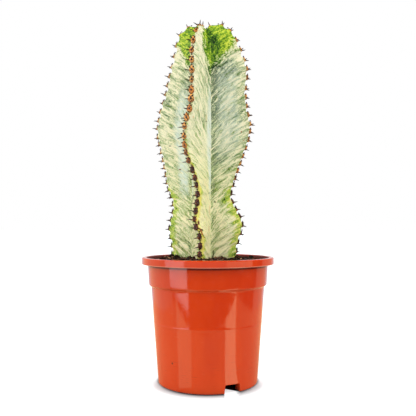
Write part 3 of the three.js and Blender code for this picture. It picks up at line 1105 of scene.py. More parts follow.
RIBS = (Rib("right", 9, (
        (42, 150), (43.6, 172), (50.6, 200), (42.4, 220), (36, 237), (42.2, 262), (51.2, 287),
        (58.6, 308), (61, 327), (57, 348), (55.2, 370), (57.2, 398), (50.2, 421), (44.2, 436),
        (37.7, 448.8), (25.4, 459), (13, 461.6), (5, 458.6), (0, APEX)), ((150, -14.5), (460, -14.5))),
    Rib("back", 14, ((42, 150), (45, 175), (48.5, 198), (41, 222), (39, 240), (47, 265), (53.5, 288),
        (60.5, 312), (60, 336), (56, 360), (51.5, 392), (47, 418), (40.5, 438), (33, 449),
        (22, 455.6), (12, 457.2), (5, 456.4), (0, APEX)),
        ((150, 78), (200, 73), (240, 77), (300, 70), (340, 73), (400, 76), (460, 75))), Rib("left", 8, (
        (44, 150), (44.8, 174), (48.2, 194), (42.8, 224), (50.6, 250), (55, 276), (60.4, 300),
        (65, 321), (62, 346), (54.6, 370), (47.6, 400), (41, 426), (36.8, 445), (30, 456),
        (20, 461.6), (11, 461.4), (5, 458), (0, APEX)), ((150, 165.5), (460, 165.5))), Rib("front", 12, (
        (43, 150), (44.6, 173), (48, 198), (41, 222), (42, 240), (48.5, 265), (53.5, 286),
        (60, 308), (61.6, 328), (57.5, 350), (53.4, 378), (50.4, 406), (44.4, 424), (38.6, 440),
        (30, 450.4), (20, 455), (11, 456.6), (5, 456), (0, APEX)),
        ((150, -99), (182, -96.5), (205, -105), (238, -101.5), (262, -106), (286, -114.5),
         (317, -113), (342, -107), (370, -106.6), (400, -107.6), (424, -109.5), (450, -105),
         (465, -104.5))),)


@dataclass(frozen=True)
class Scar:
    """A small mark seen on the skin: its column and row in the picture, and its half sizes in mm."""

    column: float
    row: float
    reach: Pair
    colour: Tint
    strength: float = 0.9


SCARS = (
    Scar(180.0, 169.5, (1.9, 1.0), tint(120, 62, 24)),
    Scar(241.4, 131.9, (0.9, 0.9), tint(150, 66, 24)),
    Scar(243.7, 140.2, (1.0, 0.8), tint(160, 96, 40), 0.7),
    Scar(206.2, 117.5, (0.75, 4.4), tint(176, 158, 62), 0.75),
    Scar(206.3, 121.3, (0.8, 0.9), tint(66, 52, 12)),
    Scar(198.0, 110.0, (1.3, 1.1), tint(214, 160, 96), 0.6),
    Scar(193.2, 117.0, (1.3, 1.0), tint(220, 156, 84), 0.6),
    Scar(170.0, 146.0, (1.7, 0.9), tint(58, 84, 56), 0.85),
    Scar(209.0, 193.0, (0.8, 0.8), tint(48, 40, 20)),
    Scar(176.5, 208.5, (1.0, 1.0), tint(48, 42, 16)),
    Scar(215.0, 202.0, (1.5, 1.3), tint(78, 92, 40), 0.85),
    Scar(209.3, 210.0, (0.5, 8.0), tint(190, 122, 84), 0.6),
    Scar(209.0, 230.0, (0.5, 9.0), tint(190, 118, 72), 0.65),
    Scar(198.5, 222.8, (2.3, 2.9), tint(92, 24, 10), 0.95),
    Scar(195.6, 219.2, (1.8, 2.4), tint(198, 98, 30), 0.9),
    Scar(202.0, 230.0, (3.4, 1.4), tint(46, 14, 8), 0.95),
    Scar(197.8, 256.8, (3.2, 3.0), tint(214, 200, 54), 0.75),
    Scar(230.0, 252.0, (3.0, 4.0), tint(132, 166, 44), 0.6),
)
VALLEY_AZIMUTHS = (30.5, 120.5, -149.5, -63.0)
AREOLES_PER_RIB = 29
PITCH = ((0, 16), (40, 15), (90, 13), (150, 11.4), (210, 10.2), (260, 10.4), (300, 11.3), (345, 11))
STRAY = 1.6
STEM_X = -4.5


@dataclass
class Spot:
    """Places on crests with their outward, sideways and upward directions."""

    place: Array
    out: Array
    side: Array
    up: Array
    radius: Array
    height: Array


class Crest:
    """A rib's crest line, measured by the distance down from the apex."""

    samples = 60
    above_first, below_last = 16, 4

    def __init__(self, rib: Rib, index: int) -> None:
        """Lays out the crest's curve and its areoles.

        The curve is a uniform Catmull-Rom spline through the rib's points from the apex down, and
        an areole follows the one above it at the pitch for its distance, with a small stray.

        Args:
            rib: the rib.
            index: its number, which picks the draws.
        """
        self.rib, self.index = rib, index
        points = np.array(rib.crest, float)[::-1]
        padded = np.vstack([points[:1], points, points[-1:]])
        a, b, c, d = padded[:-3, None], padded[1:-2, None], padded[2:-1, None], padded[3:, None]
        t = (np.arange(self.samples) / self.samples)[:, None]
        start, end = (c - a) / 2, (d - b) / 2
        curve = ((2 * b - 2 * c + start + end) * t ** 3
                 + (3 * c - 3 * b - 2 * start - end) * t ** 2 + start * t + b)
        self.line = np.vstack([curve.reshape(-1, 2), points[-1:]])
        steps = np.linalg.norm(np.diff(self.line, axis=0), axis=1)
        self.distance = np.concatenate([[0], np.cumsum(steps)])
        self.length = float(self.distance[-1])
        self.slope = unit(np.gradient(self.line, self.distance, axis=0))
        found, at = [], rib.first
        for i in range(AREOLES_PER_RIB):
            found.append(at + STRAY * (float(draw(index * 97 + i)) - 0.5))
            at += float(through(PITCH, at))
        self.areoles = np.array(found)

    def stations(self, step: Array) -> Array:
        """Distances at steps down the crest: the apex is -1, areole i is i, the soil is last."""
        knots = np.concatenate([[0], self.areoles, [self.length]])
        return np.interp(step, np.arange(-1, AREOLES_PER_RIB + 1), knots)

    def phase(self, distance: Array) -> Array:
        """How many areoles lie above a distance, going evenly from each to the next."""
        knots = self.areoles[0] - self.above_first, *self.areoles, self.length + self.below_last
        return np.interp(distance, knots, np.arange(-1, AREOLES_PER_RIB + 1))

    def at(self, distance: Array, sink: Array | float = 0.0) -> Spot:
        """Places on the crest: the line turned to the rib's azimuth at each height.

        Args:
            distance: distances down from the apex.
            sink: how far they are sunk inwards.

        Returns:
            The places.
        """
        flat, along = (np.stack([np.interp(distance, self.distance, values[:, i])
                                 for i in (0, 1)], -1) for values in (self.line, self.slope))
        along = unit(along)
        azimuth = np.radians(through(self.rib.azimuth, flat[..., 1]))
        zero = np.zeros_like(azimuth)
        radial = around(1, azimuth, 0)
        side = np.stack([-np.sin(azimuth), np.cos(azimuth), zero], -1)
        up = radial * -along[..., :1]
        up[..., 2] = -along[..., 1]
        out = unit(np.cross(side, up))
        place = radial * flat[..., :1] - out * np.broadcast_to(sink, azimuth.shape)[..., None]
        place += np.stack([zero + STEM_X, zero, flat[..., 1]], -1)
        return Spot(place, out, side, up, flat[..., 0], flat[..., 1])


class Turn(IntEnum):
    """The two flanks of a rib: the one before its crest, seen from above, and the one after."""

    BEFORE = -1
    AFTER = 1


class Draw(IntEnum):
    """What an areole's draws are for: each is added to the areole's own number."""

    LEAN = 0
    PRICKLE_TONE = 0
    LENGTH = 1
    LIFT = 2
    SHIELD_SIZE = 3
    SHIELD_WIDTH = 4
    OTHER_SPINE = 5
    TONE = 6
    BEND = 7
    EYE_HEIGHT = 8
    EYE_TONE = 9


@dataclass(frozen=True)
class Tone:
    """How one flank is coloured, as patches: a strength and the limits that it is multiplied by.

    A limit names what it goes by and the values that give 0 and 1. With a third number, the first
    is a middle and the other two are distances from it. Height is in millimetres, share runs from
    0 at the crest to 1 at the valley, and drift is the height leaning with the share.
    """

    marbling: float = 0.42
    # band: the darker green band by the valley, partly the skin's own green and partly painted shade.
    band: float = 1.0
    pale: tuple = ((0.08, ("height", 350, 320)), (0.1, ("height", 250, 215)))
    # well: strength of the painted shade in the valleys near the top.
    well: float = 0.62
    young_line: Pair = (438, 398)
    young_fade: Pair = (-20, 14)
    margin: float = 1.0
    margin_reach: Pair = (6, 11)
    margin_top: float = 285
    # Where the pale bluish painted sheen lies on the flank.
    wax: tuple = ((0.95, ("share", 0.95, 0.14, 0.14 / 3), ("height", 392, 350), ("height", 225, 255)),)
    warmth: float = 0.25
    warm_margin: bool = False

    @staticmethod
    def laid(patches: tuple, part: dict[str, Array]) -> Array:
        """The sum of some patches over a flank.

        Args:
            patches: the patches.
            part: what their limits go by.

        Returns:
            The sum.
        """
        total = 0
        for strength, *limits in patches:
            for name, *middle, low, high in limits:
                value = np.abs(part[name] - middle[0]) if middle else part[name]
                strength = strength * smooth(value, low, high)
            total = total + strength
        return total

    def values(self, points: Array, across: Array, share: Array) -> dict[str, Array]:
        """Values that steer the skin's colours, from 0 to 1.

        Args:
            points: the flank's points.
            across: their distances across from the crest.
            share: their shares of the way to the valley.

        Returns:
            Green (partly painted shade by the valleys), warm, crown, edge and the pale painted sheen.
        """
        height = points[..., 2]
        part = {"height": height, "across": across, "share": share,
                "drift": height + DRIFT_LEAN * (share - 0.5)}
        young = smooth(height, 395, 430)
        # The band by the valley is partly painted shade, and the valleys near the top get painted shade.
        green = self.marbling + self.band * self.laid(GREEN_AND_SHADE_BAND, part) - self.laid(self.pale, part)
        green = green * (1 - young) + 0.12 * young + self.well * self.laid(VALLEY_SHADE, part)
        crest, valley = self.young_line
        crown = smooth(height - between(crest, valley, share), *self.young_fade)
        reach, more = self.margin_reach
        edge = smooth(across / (reach + more * smooth(height, 258, 238)), 1.0, 0.25)
        edge = edge * smooth(height, self.margin_top, self.margin_top - 50)
        edge = self.margin * np.maximum(edge, self.laid(THIN_MARGIN, part))
        warm = self.warmth * smooth(height, 330, 240) + 0.05
        warm = np.maximum(warm, edge) if self.warm_margin else warm
        return {"green": green, "warm": warm, "crown": crown, "edge": edge,
                "wax": self.laid(self.wax, part)}


DRIFT_LEAN = 40
# A darker green band beside the valleys: partly the skin's own green, partly painted shade from the next
# rib.
GREEN_AND_SHADE_BAND = ((0.52, ("share", 0.66, 0.9), ("height", 318, 350), ("height", 425, 385)),
              (0.2, ("share", 0.66, 0.9), ("height", 425, 385)))
# Painted shade: dark green in the valley bottoms near the top, where the ribs meet.
VALLEY_SHADE = ((1.0, ("share", 0.5, 0.95), ("height", 408, 438)),)
THIN_MARGIN = ((0.5, ("across", 5.0, 1.5), ("height", 380, 330)),)
FRONT_MARGIN = {"margin_reach": (7, 9), "margin_top": 322}
TONES = {
    ("front", Turn.AFTER): Tone(
        marbling=0.23, band=0.1, pale=(*Tone.pale, (-0.05, ("height", 300, 340))),
        young_line=(466, 394), young_fade=(-36, 34), warmth=0.38, warm_margin=True,
        **FRONT_MARGIN),
    ("front", Turn.BEFORE): Tone(
        pale=(*Tone.pale, (-0.32, ("height", 345, 368), ("height", 428, 410))), margin=0.3,
        **FRONT_MARGIN),
    ("right", Turn.BEFORE): Tone(
        marbling=0.48, young_line=(436, 401),
        pale=(*Tone.pale, (0.07, ("height", 215, 190)),
              (0.18, ("drift", 364, 24, 6), ("share", 0.75, 0.55)),
              (-0.26, ("drift", 398, 20, 8), ("share", 0.75, 0.55), ("share", 0.1, 0.25)),
              (-0.06, ("share", 0.5, 0.66), ("height", 372, 55, 25))),
        wax=((0.5, ("share", 0.5, 0.45, 0.15), ("height", 425, 385), ("height", 250, 330)),)),
    ("left", Turn.AFTER): Tone(
        marbling=0.38, band=0.65, pale=((0.12, ("height", 350, 320), ("height", 255, 290)),),
        well=0.3, young_line=(438, 400),
        wax=((0.95, ("share", 0.64, 0.26, 0.26 / 3), ("height", 392, 350),
              ("height", 225, 255)),)),
}


@dataclass
class Stem:
    """The ribbed stem's skin, rooted in the mix as a stump."""

    rows: int = 340
    top_step: float = -0.97
    crest_steps: int = 6
    flank_steps: int = 18
    core_radius: float = 17.0
    crown: float = 52.0
    crown_notch: float = 7.5
    half_width: float = 3.1
    narrow_tip: float = 12.0
    rounding: float = 0.85
    valley_ease: float = 0.16
    valley_fill: float = 0.3
    stump: tuple = ((112, 0.3), (116, 0.5), (122, 0.7), (132, 0.88), (142, 0.96))
    tooth: tuple = ((0, 1), (40, 2.2), (80, 2.6), (150, 2.0), (345, 1.8))
    bulge: tuple = ((0, 0.5), (60, 0.8), (120, -0.8), (230, -0.6), (345, 1.6))
    ridge: float = 0.55
    ridge_widths: Pair = (4, 20)
    streak_lean: float = 0.26
    streak_curl: float = 0.008
    fan_curl: float = 0.02
    swelling: float = 0.7

    def __post_init__(self) -> None:
        """Lays out the crests."""
        self.crests = [Crest(rib, index) for index, rib in enumerate(RIBS)]

    def valley(self, index: int, distances: list[Array], spots: list[Spot]) -> Array:
        """Bottom of the valley after a rib: on its azimuth, midway between its crests' heights.

        Args:
            index: the rib's number.
            distances: each crest's distances from the apex.
            spots: each crest's places there.

        Returns:
            The bottom's points.
        """
        after = (index + 1) % len(RIBS)
        crown = np.minimum((distances[index] + distances[after]) / 2 / self.crown, 1)
        radius = self.core_radius * crown ** 0.75
        azimuth = math.radians(VALLEY_AZIMUTHS[index])
        height = (spots[index].height + spots[after].height) / 2
        height = height - self.crown_notch * np.sin(np.pi * crown)
        return np.stack([STEM_X + radius * math.cos(azimuth), radius * math.sin(azimuth), height], -1)

    def flank(self, crest: Crest, distance: Array, valley: Array, turn: Turn) -> dict[str, Array]:
        """One flank from its crest in to its valley.

        The crest's edge is a quarter of an ellipse down to the shoulder. From there the flank is
        a straight line to the valley, with a sine's bulge to the side, low ridges that run down
        from the areoles along the streaks, and a rounded bottom.

        Args:
            crest: the rib's crest.
            distance: a distance from the apex for each row.
            valley: the valley's bottom for each row.
            turn: which flank.

        Returns:
            Points, the distance across from the crest, the share of the way to the valley and the
            streak that each point lies on.
        """
        tooth = through(self.tooth, distance) * (1 - np.cos(2 * np.pi * crest.phase(distance))) / 2
        spot = crest.at(distance, tooth)
        half = self.half_width * np.minimum(1, distance / self.narrow_tip)
        lean = np.linspace(0, np.pi / 2, self.crest_steps + 1)
        side = spot.side * turn
        edge = (spot.place[:, None]
                - spot.out[:, None] * (half[:, None] * self.rounding * (1 - np.cos(lean)))[..., None]
                + side[:, None] * (half[:, None] * np.sin(lean))[..., None])
        edge, shoulder = edge[:, :-1], edge[:, -1]
        t = np.linspace(0, 1, self.flank_steps + 1)
        line = shoulder[:, None] * (1 - t)[:, None] + valley[:, None] * t[:, None]
        width = np.linalg.norm(valley - shoulder, axis=-1)[:, None]
        across = np.hstack([half[:, None] * lean[:-1], half[:, None] * np.pi / 2 + width * t])
        fan = crest.rib.name == "front" and turn is Turn.AFTER
        curl = self.fan_curl if fan else self.streak_curl
        streak = distance[:, None] - self.streak_lean * across - curl * across ** 2
        ridges = np.cos(2 * np.pi * crest.phase(streak[:, self.crest_steps:]))
        arch = np.sin(np.pi * t)
        swell = through(self.bulge, distance)[:, None] * arch
        swell = swell + self.ridge * ridges * arch ** 0.8 * smooth(width, *self.ridge_widths)
        line = line + side[:, None] * swell[..., None]
        fill = np.clip(1 - (1 - t) / self.valley_ease, 0, 1) ** 2
        outward = unit(valley[:, :2] - (STEM_X, 0) + (1e-6, 0))
        line[..., :2] += outward[:, None] * (fill * width * self.valley_ease * self.valley_fill)[..., None]
        return {"points": np.concatenate([edge, line], 1), "across": across, "streak": streak,
                "share": np.hstack([np.zeros_like(across[:, :self.crest_steps]),
                                    np.broadcast_to(t, line.shape[:2])])}

    def skin(self) -> Surface:
        """The ribbed skin as one closed surface, with its UV map and colour values.

        Rows run from the soil up to the apex at shares of the areoles' numbers; each row is made
        of eight flanks, and the stump's rings below are the lowest row drawn in to the axis.

        Returns:
            The surface.
        """
        step = np.linspace(AREOLES_PER_RIB, self.top_step, self.rows)
        distances = [crest.stations(step) for crest in self.crests]
        spots = [crest.at(away) for crest, away in zip(self.crests, distances)]
        valleys = [self.valley(i, distances, spots) for i in range(len(RIBS))]
        blocks = []
        for k, crest in enumerate(self.crests):
            for turn, valley in ((Turn.BEFORE, valleys[k - 1]), (Turn.AFTER, valleys[k])):
                part = self.flank(crest, distances[k], valley, turn)
                tone = TONES.get((crest.rib.name, turn), Tone())
                part |= tone.values(part["points"], part["across"], part["share"])
                part["u"] = part["streak"] / 10 + 60.0 * len(blocks)
                part["v"] = part["across"] / 10
                if turn is Turn.BEFORE:
                    part = {key: value[:, ::-1] for key, value in part.items()}
                blocks.append(part)
        rings = self.irregular(np.concatenate([block["points"][:, :-1] for block in blocks], 1))
        axis = np.array([STEM_X, 0, 0])
        stump = np.stack([(rings[0] - axis) * (share, share, 0) + axis + (0, 0, height)
                          for height, share in self.stump])
        surface = closed_rings(np.concatenate([stump, rings]),
                               axis + (0, 0, self.stump[0][0] - 2), axis + (0, 0, APEX))
        corners = {key: self.corner_values([block[key] for block in blocks])
                   for key in ("green", "warm", "crown", "edge", "wax", "u", "v")}
        surface.uv = np.stack([corners.pop("u"), corners.pop("v")], -1)
        surface.at_corners = corners
        return surface

    def irregular(self, rings: Array) -> Array:
        """The rings with slight swellings, cloudy over azimuth and height, away from the axis.

        Args:
            rings: points as (ring, point, xyz).

        Returns:
            The rings.
        """
        offset = rings - (STEM_X, 0, 0)
        angle = np.arctan2(offset[..., 1], offset[..., 0])
        cloud = grain(angle * 24, rings[..., 2], 9.0, 3) - 0.5
        cloud += 0.5 * (grain(angle * 40, rings[..., 2], 4.0, 8) - 0.5)
        fade = smooth(np.linalg.norm(offset[..., :2], axis=-1), 4, 16)
        moved = rings.copy()
        moved[..., :2] += unit(offset[..., :2] + 1e-9) * (self.swelling * cloud * fade)[..., None]
        return moved

    def corner_values(self, blocks: list[Array]) -> Array:
        """Values at the corners of every face, in the order that closed_rings makes the faces.

        The stump's rows repeat the lowest row, and the fans at the ends take their ring's values.

        Args:
            blocks: each flank's values as (row, point).

        Returns:
            One value for each corner.
        """
        found, first, last = [], [], []
        for block in blocks:
            full = np.concatenate([np.repeat(block[:1], len(self.stump), 0), block])
            found.append(np.stack([full[:-1, :-1], full[:-1, 1:], full[1:, 1:], full[1:, :-1]], -1))
            first.append(np.stack([full[0, :-1], full[0, 1:], full[0, :-1]], -1))
            last.append(np.stack([full[-1, :-1], full[-1, :-1], full[-1, 1:]], -1))
        quads = np.concatenate(found, 1).reshape(-1)
        return np.concatenate([quads, np.concatenate(first).ravel(), np.concatenate(last).ravel()])

    @staticmethod
    def marks(surface: Surface, studio: "Studio") -> tuple[Mark, ...]:
        """The scars, laid on the skin where the camera sees them.

        Args:
            surface: the skin.
            studio: the studio with the camera.

        Returns:
            The marks.
        """
        tree = BVHTree.FromPolygons(surface.points.tolist(), surface.faces)
        found = []
        for scar in SCARS:
            place = tree.ray_cast(*studio.sight(scar.column, scar.row))[0]
            if place is not None:
                wide, tall = scar.reach
                found.append(Mark(tuple(place), (wide, max(wide, 1.5), tall), scar.colour, scar.strength))
        return tuple(found)

    def build(self, studio: "Studio") -> None:
        """Makes the skin.

        Args:
            studio: its camera sees the scars.
        """
        surface = self.skin()
        finish = SucculentSkin(marks=self.marks(surface, studio)).material()
        piece_of("stem_skin", mesh_of("stem_skin", surface), finish, ("stem",))

    def reach(self, angle: Array) -> Array:
        """How far the stem reaches from its axis at the soil.

        Args:
            angle: directions in radians.

        Returns:
            The reach in each.
        """
        distances = [np.array([crest.length - crest.below_last]) for crest in self.crests]
        spots = [crest.at(away) for crest, away in zip(self.crests, distances)]
        corners = []
        for k, spot in enumerate(spots):
            corners += [spot.place[0], self.valley(k, distances, spots)[0]]
        corners = np.array(corners)[:, :2] - (STEM_X, 0)
        around = np.arctan2(corners[:, 1], corners[:, 0])
        order = np.argsort(around)
        return np.interp(angle, around[order], np.linalg.norm(corners[order], axis=1), period=2 * np.pi)


@dataclass
class Armour:
    """What stands on the crests: shields, spines, prickles, flowering eyes and a dried leaf."""

    crests: list[Crest]
    lowest: float = 160.0
    sizes: tuple = ((0, 0.45), (18, 0.55), (38, 0.8), (60, 1.0))
    front_bulk: Point = (0.14, 295, 325)
    other_bulk: float = 0.74
    old_below: Pair = (306, 286)
    shield_sides: int = 12
    shield_half_width: float = 3.1
    shield_up: float = 5.2
    shield_down: float = 3.9
    shield_proud: float = 1.25
    shield_narrowing: float = 0.42
    shield_rings: tuple = ((1.0, -1.5), (1.0, 0.05), (0.84, 0.62), (0.5, 0.95))
    shield_root: Point = (0.0, 0.0, -2.2)
    shield_peak: Pair = (-0.4, 0.95)
    shield_lumps: Pair = (0.35, 0.6)
    spine_sides: int = 6
    spine_steps: tuple = (-0.12, 0.02, 0.12, 0.26, 0.45, 0.66, 0.85)
    spine_root: float = -0.14
    spine_shortest: float = 5.8
    spine_longest: float = 8.6
    spine_least: float = 0.62
    spine_spread: float = 33.0
    spine_stray: float = 14.0
    spine_swing: tuple = (0, 0, 0, 20)
    spine_radius: float = 0.86
    spine_foot: float = 0.7
    spine_bend: float = 1.5
    spine_apart: float = 1.2
    spine_below: float = 1.0
    spine_lift: Pair = (-0.14, 0.1)
    prickle_rings: tuple = ((1.0, -0.6), (0.95, 0.7), (0.45, 1.8))
    prickle_ends: tuple[Point, Point] = ((0, 0, -0.9), (0.1, 0.1, 2.7))
    prickle_place: Pair = (1.7, 3.0)
    prickle_lean: Pair = (0.8, 0.35)
    eye_size: Point = (1.15, 0.9, 0.8)
    eye_above: Pair = (6.0, 7.0)
    eye_lower: float = 0.72
    leaf_height: float = 197.0
    leaf_line: tuple = ((1.6, -0.4, -1.2), (5.2, -1.8, 0.2), (8.0, -7.0, 0.2), (10.4, -13.2, -2.6))
    leaf_steps: int = 22
    leaf_sides: int = 8
    leaf_half_width: float = 1.25
    leaf_lift: Point = (0.45, 0.3, 0.35)

    def __post_init__(self) -> None:
        """Gathers every areole above the soil: place, number for draws, age from 0 to 1, size."""
        spots, seeds, ages, sizes = [], [], [], []
        for crest in self.crests:
            spot = crest.at(crest.areoles)
            keep = spot.height >= self.lowest
            spots.append([value[keep] for value in vars(spot).values()])
            seeds.append(1000 * (crest.index + 1) + 10 * np.flatnonzero(keep))
            front = crest.rib.name == "front"
            old = self.old_below[0 if front else 1]
            height = spot.height[keep]
            ages.append(np.maximum(smooth(height, old, old - 48), 0.5 * smooth(height, 440, 452)))
            more, low, high = self.front_bulk
            bulk = 1 + more * smooth(height, low, high) if front else self.other_bulk
            sizes.append(through(self.sizes, crest.areoles[keep]) * bulk)
        self.spot = Spot(*(np.concatenate(values) for values in zip(*spots)))
        self.seed, self.age, self.size = (np.concatenate(each) for each in (seeds, ages, sizes))
        self.axes = np.stack([self.spot.side, self.spot.up, self.spot.out], 1)

    def drawn(self, purpose: Draw) -> Array:
        """The areoles' draws for a purpose."""
        return draw(self.seed + purpose)

    def shields(self) -> Surface:
        """The horny shields: a pointed oval plate, domed over four rings of points.

        Across is a sine that narrows towards the tip, along is a cosine with a longer upper half,
        and the height over each ring follows a dome with small random lumps.

        Returns:
            The shields.
        """
        count, sides = len(self.seed), self.shield_sides
        turn = turns(sides)
        across = np.sin(turn) * (1 - self.shield_narrowing * np.maximum(np.cos(turn), 0) ** 1.5)
        along = np.where(np.cos(turn) > 0, self.shield_up, self.shield_down) * np.cos(turn)
        share, lift = np.array(self.shield_rings).T[..., None]
        lift = lift * self.shield_proud
        size = (self.size * between(0.86, 1.1, self.drawn(Draw.SHIELD_SIZE)))[:, None, None]
        wide = between(0.85, 1.12, self.drawn(Draw.SHIELD_WIDTH))[:, None, None]
        number = np.arange(len(share) * sides).reshape(len(share), sides)
        lump = draw(self.seed[:, None, None] * 7 + number) - 0.5
        sideways, outwards = self.shield_lumps
        x = self.shield_half_width * across * share * size * wide + sideways * lump
        y = along * share * size
        z = (lift + outwards * lump * (lift > 0)) * np.sqrt(self.size)[:, None, None]
        root = np.tile(self.shield_root, (count, 1))
        peak = np.tile([0, self.shield_peak[0], self.shield_peak[1] * self.shield_proud], (count, 1))
        template = ringed_copies(np.stack([x, y, z], -1), root, peak)
        template.faces = [face[::-1] for face in template.faces]
        surface = repeated(template, self.spot.place, self.axes)
        # The two outer rings darken the shield's edge: partly its own dark rim, partly painted shade where
        # it meets the skin.
        tip = np.concatenate([np.repeat([0.17, 0.17, 0.03, 0.0], sides), [0.0, 0.42]])
        surface.at_points = self.horn_values(self.age, self.drawn(Draw.TONE), tip)
        return surface

    @staticmethod
    def horn_values(age: Array, tone: Array, tip: Array) -> dict[str, Array]:
        """Values that the horn's finish reads, at all the points of some copies."""
        count = len(tip)
        return {"age": np.repeat(age, count), "tone": np.repeat(tone, count),
                "tip": np.tile(tip, len(age))}

    def spines(self) -> Surface:
        """The paired spines: six-sided, slightly curved, tapering from the root to a fine tip."""
        return joined([self.one_side(turn) for turn in Turn])

    def one_side(self, turn: Turn) -> Surface:
        """The spines on one side of every areole.

        The middle line runs straight out and bends by a square of its length, and the radius falls
        with the root of what is left of it.

        Args:
            turn: which side.

        Returns:
            The spines.
        """
        scale = np.maximum(self.size, self.spine_least)
        lean, length, lift, bend, tone = (
            draw(self.seed + purpose + (Draw.OTHER_SPINE if turn is Turn.AFTER else 0))
            for purpose in (Draw.LEAN, Draw.LENGTH, Draw.LIFT, Draw.BEND, Draw.TONE))
        swing = -turn * np.array(self.spine_swing)[self.seed // 1000 - 1]
        lean = np.radians(self.spine_spread + swing + self.spine_stray * (lean - 0.5))[:, None]
        length = between(self.spine_shortest, self.spine_longest, length) * scale ** 0.7
        spot = self.spot
        along = unit(spot.out * np.cos(lean) + spot.side * turn * np.sin(lean)
                     + spot.up * between(*self.spine_lift, lift)[:, None])
        wide = unit(np.cross(spot.up, along))
        tall = np.cross(along, wide)
        place = spot.place + spot.side * turn * self.spine_apart - spot.up * self.spine_below
        share = np.array(self.spine_steps)[None, :, None]
        radius = self.spine_radius * np.sqrt(np.clip(1 - share, 0, 1))
        radius = radius * (1 + self.spine_foot * (share < 0.1))
        bend = (bend - 0.6)[:, None, None] * self.spine_bend
        angle = turns(self.spine_sides)
        rings = np.stack([radius * np.cos(angle) + 0 * bend, radius * np.sin(angle) + bend * share ** 2,
                          share * length[:, None, None] + 0 * angle], -1)
        none = 0 * length
        template = ringed_copies(rings, np.stack([none, none, self.spine_root * length], -1),
                                 np.stack([none, bend[:, 0, 0], length], -1))
        surface = repeated(template, place, np.stack([wide, tall, along], 1))
        shade = np.concatenate([np.repeat(np.clip(share.ravel(), 0, 1), len(angle)), [0, 1]])
        surface.at_points = self.horn_values(0.45 * self.age, tone, shade)
        return surface

    def prickles(self) -> Surface:
        """Two tiny prickles at the upper corners of each shield, as four-sided cones.

        Returns:
            The prickles.
        """
        spot, places, frames = self.spot, [], []
        apart, above = self.prickle_place
        for turn in Turn:
            sideways, upwards = self.prickle_lean
            along = unit(spot.out + spot.side * turn * sideways + spot.up * upwards)
            wide = unit(np.cross(spot.up, along))
            places.append(spot.place + spot.side * turn * apart + spot.up * above)
            frames.append(np.stack([wide, np.cross(along, wide), along], 1))
        rings = np.stack([around(radius, turns(4), height) for radius, height in self.prickle_rings])
        template = closed_rings(rings, *np.array(self.prickle_ends))
        dark = np.full(len(template.points), 0.3)
        template.points = template.points * (np.tile(self.size, 2) ** 1.8)[:, None, None]
        surface = repeated(template, np.concatenate(places), np.concatenate(frames))
        surface.at_points = self.horn_values(
            np.tile(self.age, 2), np.tile(self.drawn(Draw.PRICKLE_TONE), 2), dark)
        return surface

    def flowering_eyes(self) -> Surface:
        """A dark flowering eye just above each shield: a small flattened ball.

        Returns:
            The eyes.
        """
        template = ball(np.linspace(-0.9, 0.8, 4) * np.pi / 2, 8)
        template.points = template.points * self.eye_size
        lower = np.where(self.seed < 4000, self.eye_lower, 1)[:, None]
        above = between(*self.eye_above, self.drawn(Draw.EYE_HEIGHT))[:, None] * lower
        surface = repeated(template, self.spot.place + self.spot.up * above - self.spot.out * 0.1,
                           self.axes)
        surface.at_points = self.horn_values(np.maximum(self.age, 0.5), self.drawn(Draw.EYE_TONE),
                                             np.full(len(template.points), 0.3))
        return surface

    def dried_leaf(self) -> Surface:
        """The dried leaf on the front rib: a narrow strip along a curve, curled to a channel.

        The half width falls evenly and swells by the root of a sine; the channel is an ellipse
        whose sides are lifted by a squared cosine.

        Returns:
            The leaf.
        """
        crest = self.crests[-1]
        heights = crest.at(crest.areoles).height
        spot = crest.at(crest.areoles[heights < self.leaf_height][:1])
        line, share = threaded(self.leaf_line, self.leaf_steps)
        half = self.leaf_half_width * (1 - 0.7 * share) * (0.55 + 0.9 * np.sin(np.pi * share) ** 0.5)
        angle = turns(self.leaf_sides)
        lift, thick, curl = self.leaf_lift
        local = np.stack([line[:, :1] + half[:, None] * np.cos(angle), line[:, 1:2] + 0 * angle,
                          line[:, 2:] + lift + thick * np.sin(angle) + curl * np.cos(angle) ** 2], -1)
        rings = local @ np.stack([spot.side[0], spot.up[0], spot.out[0]]) + spot.place[0]
        surface = closed_rings(rings, rings[0].mean(0), rings[-1].mean(0))
        along = np.concatenate([np.repeat(share, self.leaf_sides), [0, 1]])
        surface.at_points = {"age": 1 - 0.9 * along, "tone": np.full(len(along), 0.3),
                             "tip": 0.14 * (1 - along)}
        return surface

    def build(self) -> None:
        """Makes the pieces, all of horn."""
        horn = Horn().material()
        for make in (self.shields, self.spines, self.prickles, self.flowering_eyes, self.dried_leaf):
            name = make.__name__
            piece_of(name, mesh_of(name, make()), horn)


# ---- soil


